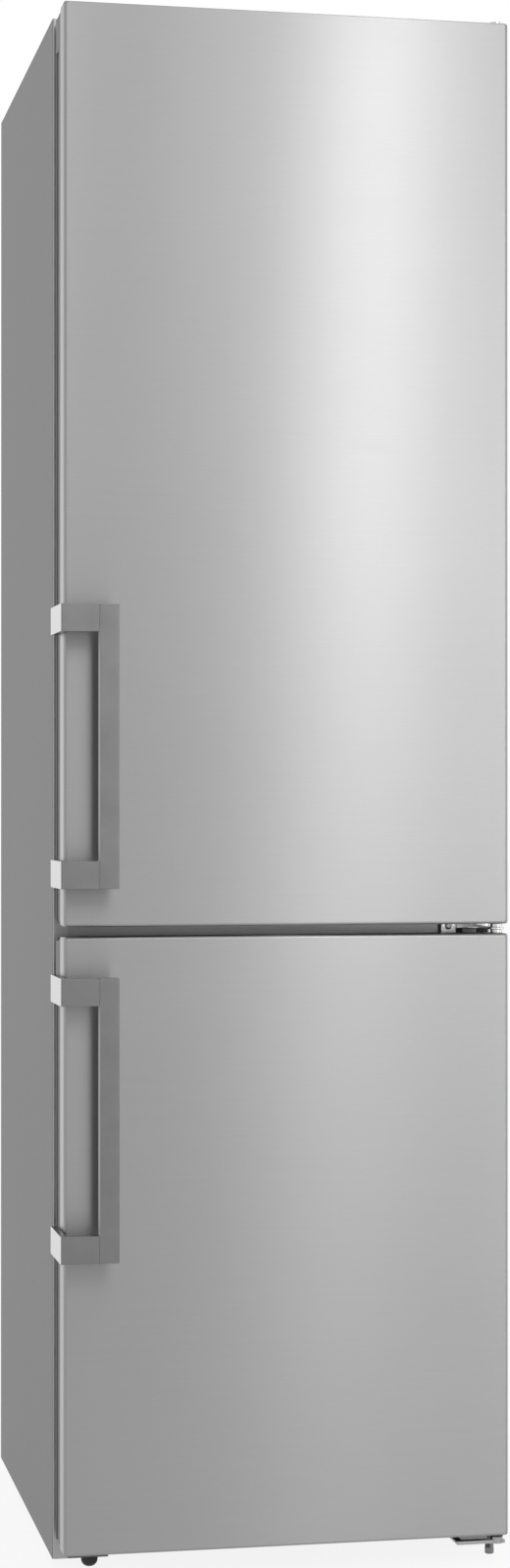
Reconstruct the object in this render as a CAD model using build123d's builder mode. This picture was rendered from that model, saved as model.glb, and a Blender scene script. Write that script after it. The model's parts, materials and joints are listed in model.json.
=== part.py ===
from build123d import *
import math
import os

# A tall free-standing fridge freezer: fridge above, freezer below, both doors hinged on the right.
# X runs across the front, Y runs from the front to the back, Z is up from the floor.
# The origin is on the floor, half way between the handles' front faces and the cabinet's back.

# Whole object
cabinet_width = 588.0
cabinet_depth = 596.0
cabinet_top = 2015.0
cabinet_bottom = 14.0
door_side_margin = 2.0
door_reach = 94.0
door_top_drop = 1.2
door_bottom = 40.0
lower_door_height = 785.25
door_gap = 12.5
handle_reach = 45.0

# Fits and fine thicknesses
clearance = 0.3
running_fit = 0.05
overrun = 5.0
steel_sheet = 1.0
rail_sheet = 1.5

# Door build-up
door_edge_radius = 4.0
skin_depth = 34.0
frame_depth = 44.0
frame_wall = 22.0
door_foam_depth = 26.0
door_liner_sheet = 3.0
dyke_side_gap = 26.0
dyke_wall = 12.0
dyke_round = 4.0
dyke_reach = 25.0
freezer_dyke_reach = 14.0
dyke_end_margin = 28.0
gasket_inset = 12.0
gasket_width = 16.0
hinge_block = 24.0

# Hinges
pin_from_side = 11.0
pin_from_front = 18.0
pin_radius = 5.0
pin_length = 16.0
shoulder_radius = 8.0
hinge_plate = 3.0
hinge_tip_radius = 10.0
hinge_tab_width = 65.0
hinge_tab_height = 20.0
upper_plate_width = 60.0
upper_plate_length = 150.0
upper_plate_shoulder = 20.0
screw_head_radius = 4.5
screw_head_height = 2.5
screw_socket_radius = 2.2
screw_socket_depth = 1.5
screw_spacing = 24.0

# Handles
handle_length = 358.0
handle_from_edge = 49.75
arm_height = 35.0
arm_thickness = 12.0
arm_end_from_edge = 39.4
bar_width = 25.2
bar_thickness = 14.0
cap_stand_off = 10.0
cap_sheet = 2.5
cap_flange = 2.0
cap_rear = 52.0
lever_pivot_from_front = 40.0
lever_pivot_from_side = 4.4
lever_pin_radius = 1.2
flange_reach = 5.7
mount_front = 8.0
mount_wall = 2.8
seam_chamfer = 0.6
plunger_radius = 3.0
plunger_from_side = 6.0
plunger_front = 44.0
plunger_stop_gap = 10.0

# Insulation and liners
wall_insulation = 66.0
back_insulation = 60.0
ceiling_insulation = 55.0
floor_insulation = 70.0
middle_rail_height = 88.0
liner_wall = 2.0
liner_rim = 20.0
side_flange = 20.0
ledge_width = 9.0
ledge_height = 6.0
ledge_front = 84.0

# Machine bay at the bottom of the back
bay_depth = 190.0
bay_height = 216.0
bay_insulation = 45.0
tray_sheet = 2.0
tray_edge = 14.0

# Inside of the fridge
glass_thickness = 4.0
shelf_trim = 10.0
trim_round_share = 0.6
shelf_front = 80.0
top_shelf_gap = 252.5
shelf_count = 3
crisper_height = 190.0
crisper_front = 80.0
drawer_wall = 3.0
grip_width_share = 0.33
grip_low_share = 0.62
grip_high_share = 0.8
control_side_gap = 78.0
control_depth = 140.0
control_height = 30.0
control_front = 40.0
light_inset = 2.0
light_end_share = 0.9
light_width_share = 0.67

# Door racks
rack_reach = 66.0
rack_wall = 2.5
rack_heights = (110.0, 80.0, 80.0)
rack_level_shares = (0.045, 0.38, 0.69)

# Inside of the freezer
drawer_side_gap = 28.0
drawer_front_gap = 18.0
drawer_front_wall = 6.0
drawer_head_gap = 12.0
evaporator_space = 70.0
evaporator_height = 240.0
evaporator_side_gap = 48.0
fin_pitch = 12.0
fin_thickness = 1.2
evaporator_core = 24.0
evaporator_depth = 48.0
evaporator_foot = 3.0
cover_sheet = 3.0
fan_radius = 46.0
fan_depth = 20.0
fan_hub_radius = 15.0
fan_blades = 5
fan_blade_thickness = 2.0
fan_pitch = math.radians(40)
fan_from_ceiling = 110.0
guard_bar = 5.0
fan_shaft_radius = 3.0
slot_height = 6.0
slot_width = 60.0
slot_pitch = 16.0
cover_slot_columns = 4
cover_slot_rows = 3

# Compressor and what stands round it
compressor_radius = 70.0
compressor_height = 128.0
compressor_dome = 34.0
compressor_foot_round = 16.0
compressor_x = 70.0
terminal_box = 34.0
mount_plate_length = 176.0
mount_plate_width = 112.0
mount_plate_thickness = 3.0
grommet_radius = 11.0
grommet_height = 14.0
dish_height = 24.0
dish_wall = 2.0
dish_half_width = 66.0
dish_half_depth = 58.0
coil_tube_radius = 3.0
coil_pass_length = 190.0
coil_pitch = 26.0
coil_passes = 6
coil_bracket = 6.0
coil_bend_share = 0.45
grille_sheet = 3.0
grille_slot_width = 80.0
grille_slot_height = 6.0
inlet_width = 30.0
inlet_height = 22.0
inlet_depth = 26.0
inlet_flange = 6.0
inlet_wall = 2.5
inlet_pin_width = 4.0
inlet_pin_depth = 2.0
inlet_pin_length = 14.0

# Feet and rollers
foot_radius = 11.0
foot_round = 7.5
foot_from_side = 50.0
foot_from_front = 12.5
pan_corner_margin = 12.0
pan_step_depth = 18.0
pan_step_height = 6.0
stud_radius = 4.0
stud_length = 30.0
stud_boss_radius = 8.0
hinge_foot_radius = 6.0
hinge_foot_from_front = 68.0
hinge_foot_from_side = 8.5
hinge_foot_length = 37.0
hinge_foot_chamfer = 1.0
lower_plate_level = 27.0
lower_plate_lip = 9.0
lower_plate_left = 65.0
lower_plate_nose_lip = 1.5
roller_radius = 12.0
roller_width = 14.0
roller_from_side = 50.0
roller_from_back = 45.0
axle_radius = 3.0
cheek_thickness = 2.0
cheek_height = 26.0

# Levels along Y and Z that follow from the sizes above
total_depth = handle_reach + door_reach + cabinet_depth
handle_y = -total_depth / 2
door_y = handle_y + handle_reach
cabinet_y = door_y + door_reach
back_y = cabinet_y + cabinet_depth
half_cabinet = cabinet_width / 2
half_door = half_cabinet - door_side_margin
door_width = 2 * half_door
lower_door_top = door_bottom + lower_door_height
upper_door_bottom = lower_door_top + door_gap
upper_door_top = cabinet_top - door_top_drop
middle_level = (lower_door_top + upper_door_bottom) / 2
inner_half = half_cabinet - wall_insulation
dyke_half_width = inner_half - dyke_side_gap
drawer_half_width = inner_half - drawer_side_gap
evaporator_half_width = inner_half - evaporator_side_gap
control_half_width = inner_half - control_side_gap
fridge_floor = middle_level + middle_rail_height / 2
fridge_ceiling = cabinet_top - ceiling_insulation
freezer_ceiling = middle_level - middle_rail_height / 2
freezer_floor = cabinet_bottom + floor_insulation
liner_back_y = back_y - back_insulation
bay_y = back_y - bay_depth
bay_top = cabinet_bottom + bay_height
step_y = bay_y - bay_insulation
step_level = bay_top + bay_insulation
pin_x = half_door - pin_from_side
pin_y = door_y + pin_from_front
frame_y = door_y + skin_depth
gasket_y = frame_y + frame_depth
door_liner_y = frame_y + door_foam_depth
rack_y = door_liner_y + door_liner_sheet
cover_y = liner_back_y - evaporator_space

os.makedirs("parts", exist_ok=True)


def finish(piece, label):
    """Label a finished piece and write it as its own file."""
    piece.part.label = label
    export_step(piece.part, f"parts/{label}.step")


def block(low, high, mode=Mode.ADD):
    """Add or cut a square block between two corners in the running piece."""
    with Locations(tuple((a + b) / 2 for a, b in zip(low, high))):
        Box(*(b - a for a, b in zip(low, high)), mode=mode)


def rod(start, direction, radius, length, mode=Mode.ADD):
    """Add or cut a round rod that starts at a point and runs along a direction."""
    with BuildSketch(Plane(start, z_dir=direction)) as disc:
        Circle(radius)
    extrude(disc.sketch, amount=length, mode=mode)


# Outer steel sheets of the cabinet

def side_panel(side, label):
    """One side sheet with its front edge folded inwards."""
    outer = side * half_cabinet
    inner = side * (half_cabinet - steel_sheet)
    flange = side * (half_cabinet - side_flange)
    with BuildPart() as panel:
        block((min(outer, inner), cabinet_y, cabinet_bottom), (max(outer, inner), back_y, cabinet_top))
        block((min(outer, flange), cabinet_y, cabinet_bottom),
              (max(outer, flange), cabinet_y + steel_sheet, cabinet_top))
    finish(panel, label)


side_panel(-1, "left_side_panel")
side_panel(1, "right_side_panel")

sheet_half = half_cabinet - steel_sheet
rail_half = half_cabinet - side_flange

with BuildPart() as top_panel:
    block((-sheet_half, cabinet_y + steel_sheet, cabinet_top - steel_sheet),
          (sheet_half, back_y, cabinet_top))
    block((-rail_half, cabinet_y, fridge_ceiling + liner_rim),
          (rail_half, cabinet_y + rail_sheet, cabinet_top))
finish(top_panel, "top_panel")

with BuildPart() as back_panel:
    block((-sheet_half, back_y - steel_sheet, bay_top), (sheet_half, back_y, cabinet_top - steel_sheet))
finish(back_panel, "back_panel")

with BuildPart() as base_pan:
    block((-sheet_half, cabinet_y + steel_sheet, cabinet_bottom),
          (sheet_half, bay_y, cabinet_bottom + rail_sheet))
    block((-rail_half, cabinet_y, cabinet_bottom),
          (rail_half, cabinet_y + rail_sheet, freezer_floor - liner_rim))
    foot_x = -half_cabinet + foot_from_side
    foot_y = cabinet_y + foot_from_front
    corner_x = foot_x + foot_radius + pan_corner_margin
    step_front = cabinet_y + pan_step_depth
    pan_step_top = cabinet_bottom + pan_step_height
    block((corner_x, cabinet_y - overrun, cabinet_bottom - overrun), (rail_half, step_front, pan_step_top),
          mode=Mode.SUBTRACT)
    block((corner_x, cabinet_y, pan_step_top), (rail_half, step_front + rail_sheet, pan_step_top + rail_sheet))
    block((corner_x, step_front, cabinet_bottom), (rail_half, step_front + rail_sheet, pan_step_top))
    for end_x in (corner_x - rail_sheet, rail_half):
        block((end_x, cabinet_y + steel_sheet, cabinet_bottom),
              (end_x + rail_sheet, step_front + rail_sheet, pan_step_top + rail_sheet))
    rod((foot_x, foot_y, cabinet_bottom), (0, 0, 1), stud_boss_radius, stud_length)
    rod((foot_x, foot_y, cabinet_bottom - overrun), (0, 0, 1), stud_radius + running_fit,
        stud_length + 2 * overrun, mode=Mode.SUBTRACT)
finish(base_pan, "base_pan")

with BuildPart() as middle_rail:
    block((-rail_half, cabinet_y, freezer_ceiling), (rail_half, cabinet_y + rail_sheet, fridge_floor))
finish(middle_rail, "middle_rail")

with BuildPart() as machine_bay:
    block((-sheet_half, bay_y, bay_top - steel_sheet), (sheet_half, back_y, bay_top))
    block((-sheet_half, bay_y, cabinet_bottom), (sheet_half, bay_y + steel_sheet, bay_top))
finish(machine_bay, "machine_bay")

# Liners, moulded in one sheet each

ledge_y = cabinet_y + ledge_front
cover_level = fridge_floor + crisper_height + drawer_head_gap
shelf_spacing = (fridge_ceiling - top_shelf_gap - cover_level) / shelf_count
shelf_levels = [cover_level + shelf_spacing * (i + 1) for i in range(shelf_count)]

with BuildPart() as fridge_liner:
    wall = inner_half + liner_wall
    block((-wall, cabinet_y, fridge_floor - liner_wall),
          (wall, liner_back_y, fridge_ceiling + liner_wall))
    block((-rail_half, cabinet_y, fridge_floor),
          (rail_half, cabinet_y + liner_wall, fridge_ceiling + liner_rim))
    block((-inner_half, cabinet_y - overrun, fridge_floor),
          (inner_half, liner_back_y - liner_wall, fridge_ceiling), mode=Mode.SUBTRACT)
    block((-wall, cabinet_y - overrun, fridge_floor - liner_wall - overrun),
          (wall, cabinet_y + rail_sheet, fridge_floor), mode=Mode.SUBTRACT)
    for level in [cover_level] + shelf_levels:
        for side in (-1, 1):
            edges = sorted((side * inner_half, side * (inner_half - ledge_width)))
            block((edges[0], ledge_y, level - ledge_height), (edges[1], liner_back_y - liner_wall, level))
finish(fridge_liner, "fridge_liner")

drawer_levels = [freezer_floor, step_level + ledge_height + glass_thickness]
drawer_levels.append((drawer_levels[1] + freezer_ceiling) / 2)
plate_levels = [level - glass_thickness for level in drawer_levels[1:]]

with BuildPart() as freezer_liner:
    wall = inner_half + liner_wall
    block((-wall, cabinet_y, freezer_floor - liner_wall), (wall, step_y, freezer_ceiling + liner_wall))
    block((-wall, step_y - liner_wall, step_level - liner_wall),
          (wall, liner_back_y, freezer_ceiling + liner_wall))
    block((-rail_half, cabinet_y, freezer_floor - liner_rim),
          (rail_half, cabinet_y + liner_wall, freezer_ceiling))
    block((-inner_half, cabinet_y - overrun, freezer_floor),
          (inner_half, step_y - liner_wall, freezer_ceiling), mode=Mode.SUBTRACT)
    block((-inner_half, step_y - 2 * liner_wall, step_level),
          (inner_half, liner_back_y - liner_wall, freezer_ceiling), mode=Mode.SUBTRACT)
    block((-wall, cabinet_y - overrun, freezer_ceiling),
          (wall, cabinet_y + rail_sheet, freezer_ceiling + liner_wall + overrun), mode=Mode.SUBTRACT)
    for level in plate_levels:
        for side in (-1, 1):
            edges = sorted((side * inner_half, side * (inner_half - ledge_width)))
            block((edges[0], cabinet_y + drawer_front_gap, level - ledge_height), (edges[1], cover_y, level))
finish(freezer_liner, "freezer_liner")

# Foam between the sheets and the liners

with BuildPart() as cabinet_foam:
    wall = inner_half + liner_wall
    front = cabinet_y + liner_wall
    block((-sheet_half, front, cabinet_bottom + rail_sheet),
          (sheet_half, back_y - steel_sheet, cabinet_top - steel_sheet))
    block((-wall, front - overrun, fridge_floor - liner_wall),
          (wall, liner_back_y, fridge_ceiling + liner_wall), mode=Mode.SUBTRACT)
    block((-wall, front - overrun, freezer_floor - liner_wall),
          (wall, step_y, freezer_ceiling + liner_wall), mode=Mode.SUBTRACT)
    block((-wall, step_y - liner_wall, step_level - liner_wall),
          (wall, liner_back_y, freezer_ceiling + liner_wall), mode=Mode.SUBTRACT)
    block((-sheet_half - overrun, bay_y, cabinet_bottom - overrun),
          (sheet_half + overrun, back_y + overrun, bay_top), mode=Mode.SUBTRACT)
    rod((foot_x, foot_y, cabinet_bottom), (0, 0, 1), stud_boss_radius, stud_length, mode=Mode.SUBTRACT)
    block((corner_x - rail_sheet, front - overrun, cabinet_bottom - overrun),
          (rail_half + rail_sheet, step_front + rail_sheet, pan_step_top + rail_sheet), mode=Mode.SUBTRACT)
finish(cabinet_foam, "cabinet_foam")

# Machine bay: tray, compressor, condenser, dish, grille and mains inlet

tray_top = cabinet_bottom + tray_sheet
roller_x = half_cabinet - roller_from_side
roller_y = back_y - roller_from_back
pocket_half = roller_width / 2 + clearance + cheek_thickness
pocket_reach = roller_radius + overrun

with BuildPart() as compressor_tray:
    block((-sheet_half, bay_y + steel_sheet, cabinet_bottom), (sheet_half, back_y, tray_top))
    block((-sheet_half, bay_y + steel_sheet, cabinet_bottom),
          (sheet_half, bay_y + steel_sheet + tray_sheet, cabinet_bottom + tray_edge))
    for side in (-1, 1):
        centre = side * roller_x
        block((centre - pocket_half, roller_y - pocket_reach, cabinet_bottom - overrun),
              (centre + pocket_half, roller_y + pocket_reach, tray_top + overrun), mode=Mode.SUBTRACT)
        for cheek in (-1, 1):
            faces = sorted((centre + cheek * pocket_half, centre + cheek * (pocket_half + cheek_thickness)))
            block((faces[0], roller_y - roller_radius, roller_radius - axle_radius - cheek_thickness),
                  (faces[1], roller_y + roller_radius, cheek_height))
        rod((centre - pocket_half - cheek_thickness, roller_y, roller_radius), (1, 0, 0),
            axle_radius, 2 * (pocket_half + cheek_thickness))
finish(compressor_tray, "compressor_tray")

for side, label in ((-1, "left_roller"), (1, "right_roller")):
    with BuildPart() as roller:
        rod((side * roller_x - roller_width / 2, roller_y, roller_radius), (1, 0, 0),
            roller_radius, roller_width)
        chamfer(roller.edges().filter_by(GeomType.CIRCLE), clearance)
        rod((side * roller_x - roller_width, roller_y, roller_radius), (1, 0, 0),
            axle_radius + running_fit, 2 * roller_width, mode=Mode.SUBTRACT)
    finish(roller, label)

compressor_y = (bay_y + back_y) / 2
grommet_x = mount_plate_length / 2 - grommet_radius
grommet_y = mount_plate_width / 2 - grommet_radius
grommet_places = [(compressor_x + a * grommet_x, compressor_y + b * grommet_y)
                  for a in (-1, 1) for b in (-1, 1)]

with BuildPart() as compressor_mounts:
    for x, y in grommet_places:
        rod((x, y, tray_top), (0, 0, 1), grommet_radius, grommet_height)
        rod((x, y, tray_top + grommet_height), (0, 0, 1), stud_radius, mount_plate_thickness + clearance)
finish(compressor_mounts, "compressor_mounts")

plate_level = tray_top + grommet_height
can_level = plate_level + mount_plate_thickness

with BuildPart() as compressor:
    rod((compressor_x, compressor_y, can_level), (0, 0, 1), compressor_radius, compressor_height)
    fillet(compressor.edges().filter_by(GeomType.CIRCLE).group_by(Axis.Z)[-1], compressor_dome)
    fillet(compressor.edges().filter_by(GeomType.CIRCLE).group_by(Axis.Z)[0], compressor_foot_round)
    half_length = mount_plate_length / 2
    half_width = mount_plate_width / 2
    block((compressor_x - half_length, compressor_y - half_width, plate_level),
          (compressor_x + half_length, compressor_y + half_width, can_level + clearance))
    for x, y in grommet_places:
        rod((x, y, plate_level - overrun), (0, 0, 1), stud_radius + running_fit,
            mount_plate_thickness + 2 * overrun, mode=Mode.SUBTRACT)
    can_side = compressor_x + compressor_radius
    block((can_side - overrun, compressor_y - terminal_box / 2, can_level + terminal_box),
          (can_side + terminal_box, compressor_y + terminal_box / 2, can_level + 2 * terminal_box))
finish(compressor, "compressor")

dish_level = can_level + compressor_height + clearance

with BuildPart() as evaporation_dish:
    block((compressor_x - dish_half_width, compressor_y - dish_half_depth, dish_level),
          (compressor_x + dish_half_width, compressor_y + dish_half_depth, dish_level + dish_height))
    block((compressor_x - dish_half_width + dish_wall, compressor_y - dish_half_depth + dish_wall,
           dish_level + dish_wall),
          (compressor_x + dish_half_width - dish_wall, compressor_y + dish_half_depth - dish_wall,
           dish_level + dish_height + overrun), mode=Mode.SUBTRACT)
finish(evaporation_dish, "evaporation_dish")

coil_left = -coil_pass_length - coil_pitch * 2
coil_bottom = tray_top + coil_bracket + coil_tube_radius
coil_points = []
for i in range(coil_passes):
    ends = (coil_left, coil_left + coil_pass_length)
    for end in ends if i % 2 == 0 else reversed(ends):
        coil_points.append((end, coil_bottom + i * coil_pitch))

with BuildPart() as condenser_coil:
    with BuildLine(Plane(origin=(0, compressor_y, 0), x_dir=(1, 0, 0), z_dir=(0, -1, 0))) as coil_path:
        FilletPolyline(*coil_points, radius=coil_pitch * coil_bend_share)
    with BuildSketch(Plane(coil_path.line @ 0, z_dir=coil_path.line % 0)):
        Circle(coil_tube_radius)
    sweep()
    for x in (coil_left + coil_pitch, coil_left + coil_pass_length - coil_pitch):
        block((x - coil_bracket / 2, compressor_y - coil_bracket, tray_top),
              (x + coil_bracket / 2, compressor_y + coil_bracket,
               coil_bottom + (coil_passes - 1) * coil_pitch + coil_bracket))
finish(condenser_coil, "condenser_coil")

inlet_x = -half_cabinet + foot_from_side
inlet_z = (tray_top + bay_top) / 2
grille_top = bay_top - steel_sheet - clearance
grille_half = sheet_half - clearance

with BuildPart() as rear_grille:
    block((-grille_half, back_y - grille_sheet, tray_top), (grille_half, back_y, grille_top))
    slot_rows = int((grille_top - tray_top - 2 * slot_pitch) / slot_pitch)
    slot_columns = int((2 * grille_half - 2 * foot_from_side) / (grille_slot_width + slot_pitch))
    slot_start = (inlet_width, back_y + overrun, inlet_z)
    with BuildSketch(Plane(origin=slot_start, x_dir=(1, 0, 0), z_dir=(0, -1, 0))):
        with GridLocations(grille_slot_width + slot_pitch, slot_pitch, slot_columns, slot_rows):
            SlotOverall(grille_slot_width, grille_slot_height)
    extrude(amount=grille_sheet + 2 * overrun, mode=Mode.SUBTRACT)
    block((inlet_x - inlet_width / 2, back_y - grille_sheet - overrun, inlet_z - inlet_height / 2),
          (inlet_x + inlet_width / 2, back_y + overrun, inlet_z + inlet_height / 2), mode=Mode.SUBTRACT)
finish(rear_grille, "rear_grille")

with BuildPart() as mains_inlet:
    inside_y = back_y - grille_sheet
    left = inlet_x - inlet_width / 2
    right = inlet_x + inlet_width / 2
    under = inlet_z - inlet_height / 2
    over = inlet_z + inlet_height / 2
    socket_y = inside_y - inlet_depth + inlet_wall
    block((left - inlet_flange, inside_y - inlet_wall, under - inlet_flange),
          (right + inlet_flange, inside_y, over + inlet_flange))
    block((left, inside_y - inlet_depth, under), (right, back_y, over))
    block((left + inlet_wall, socket_y, under + inlet_wall),
          (right - inlet_wall, back_y + overrun, over - inlet_wall), mode=Mode.SUBTRACT)
    for k in (-1, 0, 1):
        pin_centre = inlet_x + k * (inlet_pin_width + inlet_pin_depth + inlet_wall / 2)
        block((pin_centre - inlet_pin_depth / 2, socket_y, inlet_z - inlet_pin_width / 2),
              (pin_centre + inlet_pin_depth / 2, socket_y + inlet_pin_length, inlet_z + inlet_pin_width / 2))
finish(mains_inlet, "mains_inlet")

# Freezer air system

with BuildPart() as evaporator:
    coil_y = liner_back_y - liner_wall - evaporator_depth / 2 - overrun
    base = step_level + evaporator_foot
    block((-evaporator_half_width, coil_y - evaporator_core / 2, base),
          (evaporator_half_width, coil_y + evaporator_core / 2, base + evaporator_height))
    fin_count = int(2 * evaporator_half_width / fin_pitch)
    for i in range(fin_count + 1):
        x = -evaporator_half_width + i * (2 * evaporator_half_width / fin_count)
        block((x - fin_thickness / 2, coil_y - evaporator_depth / 2, base),
              (x + fin_thickness / 2, coil_y + evaporator_depth / 2, base + evaporator_height))
    for side in (-1, 1):
        x = side * evaporator_half_width
        block((x - evaporator_foot, coil_y - evaporator_depth / 2, step_level),
              (x + evaporator_foot, coil_y + evaporator_depth / 2, base + evaporator_foot))
finish(evaporator, "evaporator")

fan_level = freezer_ceiling - fan_from_ceiling
fan_y = cover_y + cover_sheet + clearance

with BuildPart() as evaporator_cover:
    block((-inner_half, cover_y, step_level), (inner_half, cover_y + cover_sheet, freezer_ceiling))
    rod((0, cover_y - overrun, fan_level), (0, 1, 0), fan_radius + clearance, cover_sheet + 2 * overrun,
        mode=Mode.SUBTRACT)
    with BuildSketch(Plane(origin=(0, cover_y - overrun, step_level + evaporator_height),
                           x_dir=(1, 0, 0), z_dir=(0, -1, 0))):
        with GridLocations(slot_width + slot_pitch, slot_pitch, cover_slot_columns, cover_slot_rows):
            SlotOverall(slot_width, slot_height)
    extrude(amount=-(cover_sheet + 2 * overrun), mode=Mode.SUBTRACT)
    long_half = fan_radius + cover_sheet
    for x_half, z_half in ((long_half, guard_bar / 2), (guard_bar / 2, long_half)):
        block((-x_half, cover_y, fan_level - z_half), (x_half, cover_y + cover_sheet, fan_level + z_half))
    rod((0, cover_y, fan_level), (0, 1, 0), fan_hub_radius, cover_sheet)
    rod((0, cover_y, fan_level), (0, 1, 0), fan_shaft_radius, cover_sheet + fan_depth)
finish(evaporator_cover, "evaporator_cover")

with BuildPart() as freezer_fan:
    rod((0, fan_y, fan_level), (0, 1, 0), fan_hub_radius, fan_depth)
    for i in range(fan_blades):
        turn = 2 * math.pi * i / fan_blades
        reach = Vector(math.cos(turn), 0, math.sin(turn))
        across = Vector(-math.sin(turn), 0, math.cos(turn))
        pitch = Vector(0, math.cos(fan_pitch), 0) + across * math.sin(fan_pitch)
        centre = Vector(0, fan_y + fan_depth / 2, fan_level) + reach * ((fan_radius + fan_hub_radius) / 2)
        with BuildSketch(Plane(centre, x_dir=pitch, z_dir=reach)) as blade:
            Rectangle(fan_depth, fan_blade_thickness)
        extrude(blade.sketch, amount=(fan_radius - fan_hub_radius) / 2 - clearance)
        extrude(blade.sketch, amount=-(fan_radius - fan_hub_radius) / 2 - fan_blade_thickness)
    rod((0, fan_y - overrun, fan_level), (0, 1, 0), fan_shaft_radius + running_fit, fan_depth + 2 * overrun,
        mode=Mode.SUBTRACT)
finish(freezer_fan, "freezer_fan")

# Shelves, plates and drawers

def shelf(label, level, front, back, half):
    """A glass plate with a moulded trim along its front edge."""
    with BuildPart() as plate:
        block((-half, front, level), (half, back, level + glass_thickness))
        trim_half = half - ledge_width
        block((-trim_half, front - shelf_trim, level - glass_thickness),
              (trim_half, front, level + glass_thickness))
        fillet(plate.edges().filter_by(Axis.X).group_by(Axis.Y)[0], glass_thickness * trim_round_share)
    finish(plate, label)


shelf_half = inner_half - clearance
shelf_back = liner_back_y - liner_wall - clearance
for i, level in enumerate([cover_level] + shelf_levels):
    label = "crisper_cover" if i == 0 else f"fridge_shelf_{i}"
    shelf(label, level, cabinet_y + shelf_front + shelf_trim, shelf_back, shelf_half)

for i, level in enumerate(plate_levels):
    shelf(f"freezer_shelf_{i + 1}", level, cabinet_y + drawer_front_gap + shelf_trim,
          cover_y - clearance, shelf_half)


def drawer(label, front, back, level, height, half):
    """An open box with a thicker front panel and a grip notch in it."""
    with BuildPart() as box:
        block((-half, front, level), (half, back, level + height))
        block((-half + drawer_wall, front + drawer_front_wall, level + drawer_wall),
              (half - drawer_wall, back - drawer_wall, level + height + overrun), mode=Mode.SUBTRACT)
        fillet(box.edges().filter_by(Axis.Z).group_by(Axis.Y)[0], drawer_wall)
        grip_half = half * grip_width_share
        block((-grip_half, front - overrun, level + height * grip_low_share),
              (grip_half, front + drawer_wall, level + height * grip_high_share), mode=Mode.SUBTRACT)
    finish(box, label)


drawer("crisper_drawer", cabinet_y + crisper_front, shelf_back, fridge_floor + clearance,
       crisper_height, drawer_half_width)

drawer_tops = plate_levels + [freezer_ceiling - drawer_head_gap]
drawer_backs = [step_y - liner_wall - clearance, cover_y - clearance, cover_y - clearance]
for i, level in enumerate(drawer_levels):
    height = drawer_tops[i] - level - drawer_head_gap
    drawer(f"freezer_drawer_{i + 1}", cabinet_y + drawer_front_gap, drawer_backs[i], level + clearance,
           height, drawer_half_width)

with BuildPart() as control_panel:
    control_y = cabinet_y + control_front
    control_low = fridge_ceiling - control_height
    light_half = control_half_width * light_width_share
    block((-control_half_width, control_y, control_low),
          (control_half_width, control_y + control_depth, fridge_ceiling))
    low_edges = control_panel.edges().filter_by(Axis.X).group_by(Axis.Z)[0]
    chamfer(low_edges.sort_by(Axis.Y)[0], control_height / 2)
    block((-light_half, control_y + control_depth / 2, control_low - overrun),
          (light_half, control_y + control_depth * light_end_share, control_low + light_inset),
          mode=Mode.SUBTRACT)
finish(control_panel, "control_panel")

# Doors

def arm_levels(low):
    """The lower edges of a handle's two arms, for a handle that starts at a level."""
    return low, low + handle_length - arm_height


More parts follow.
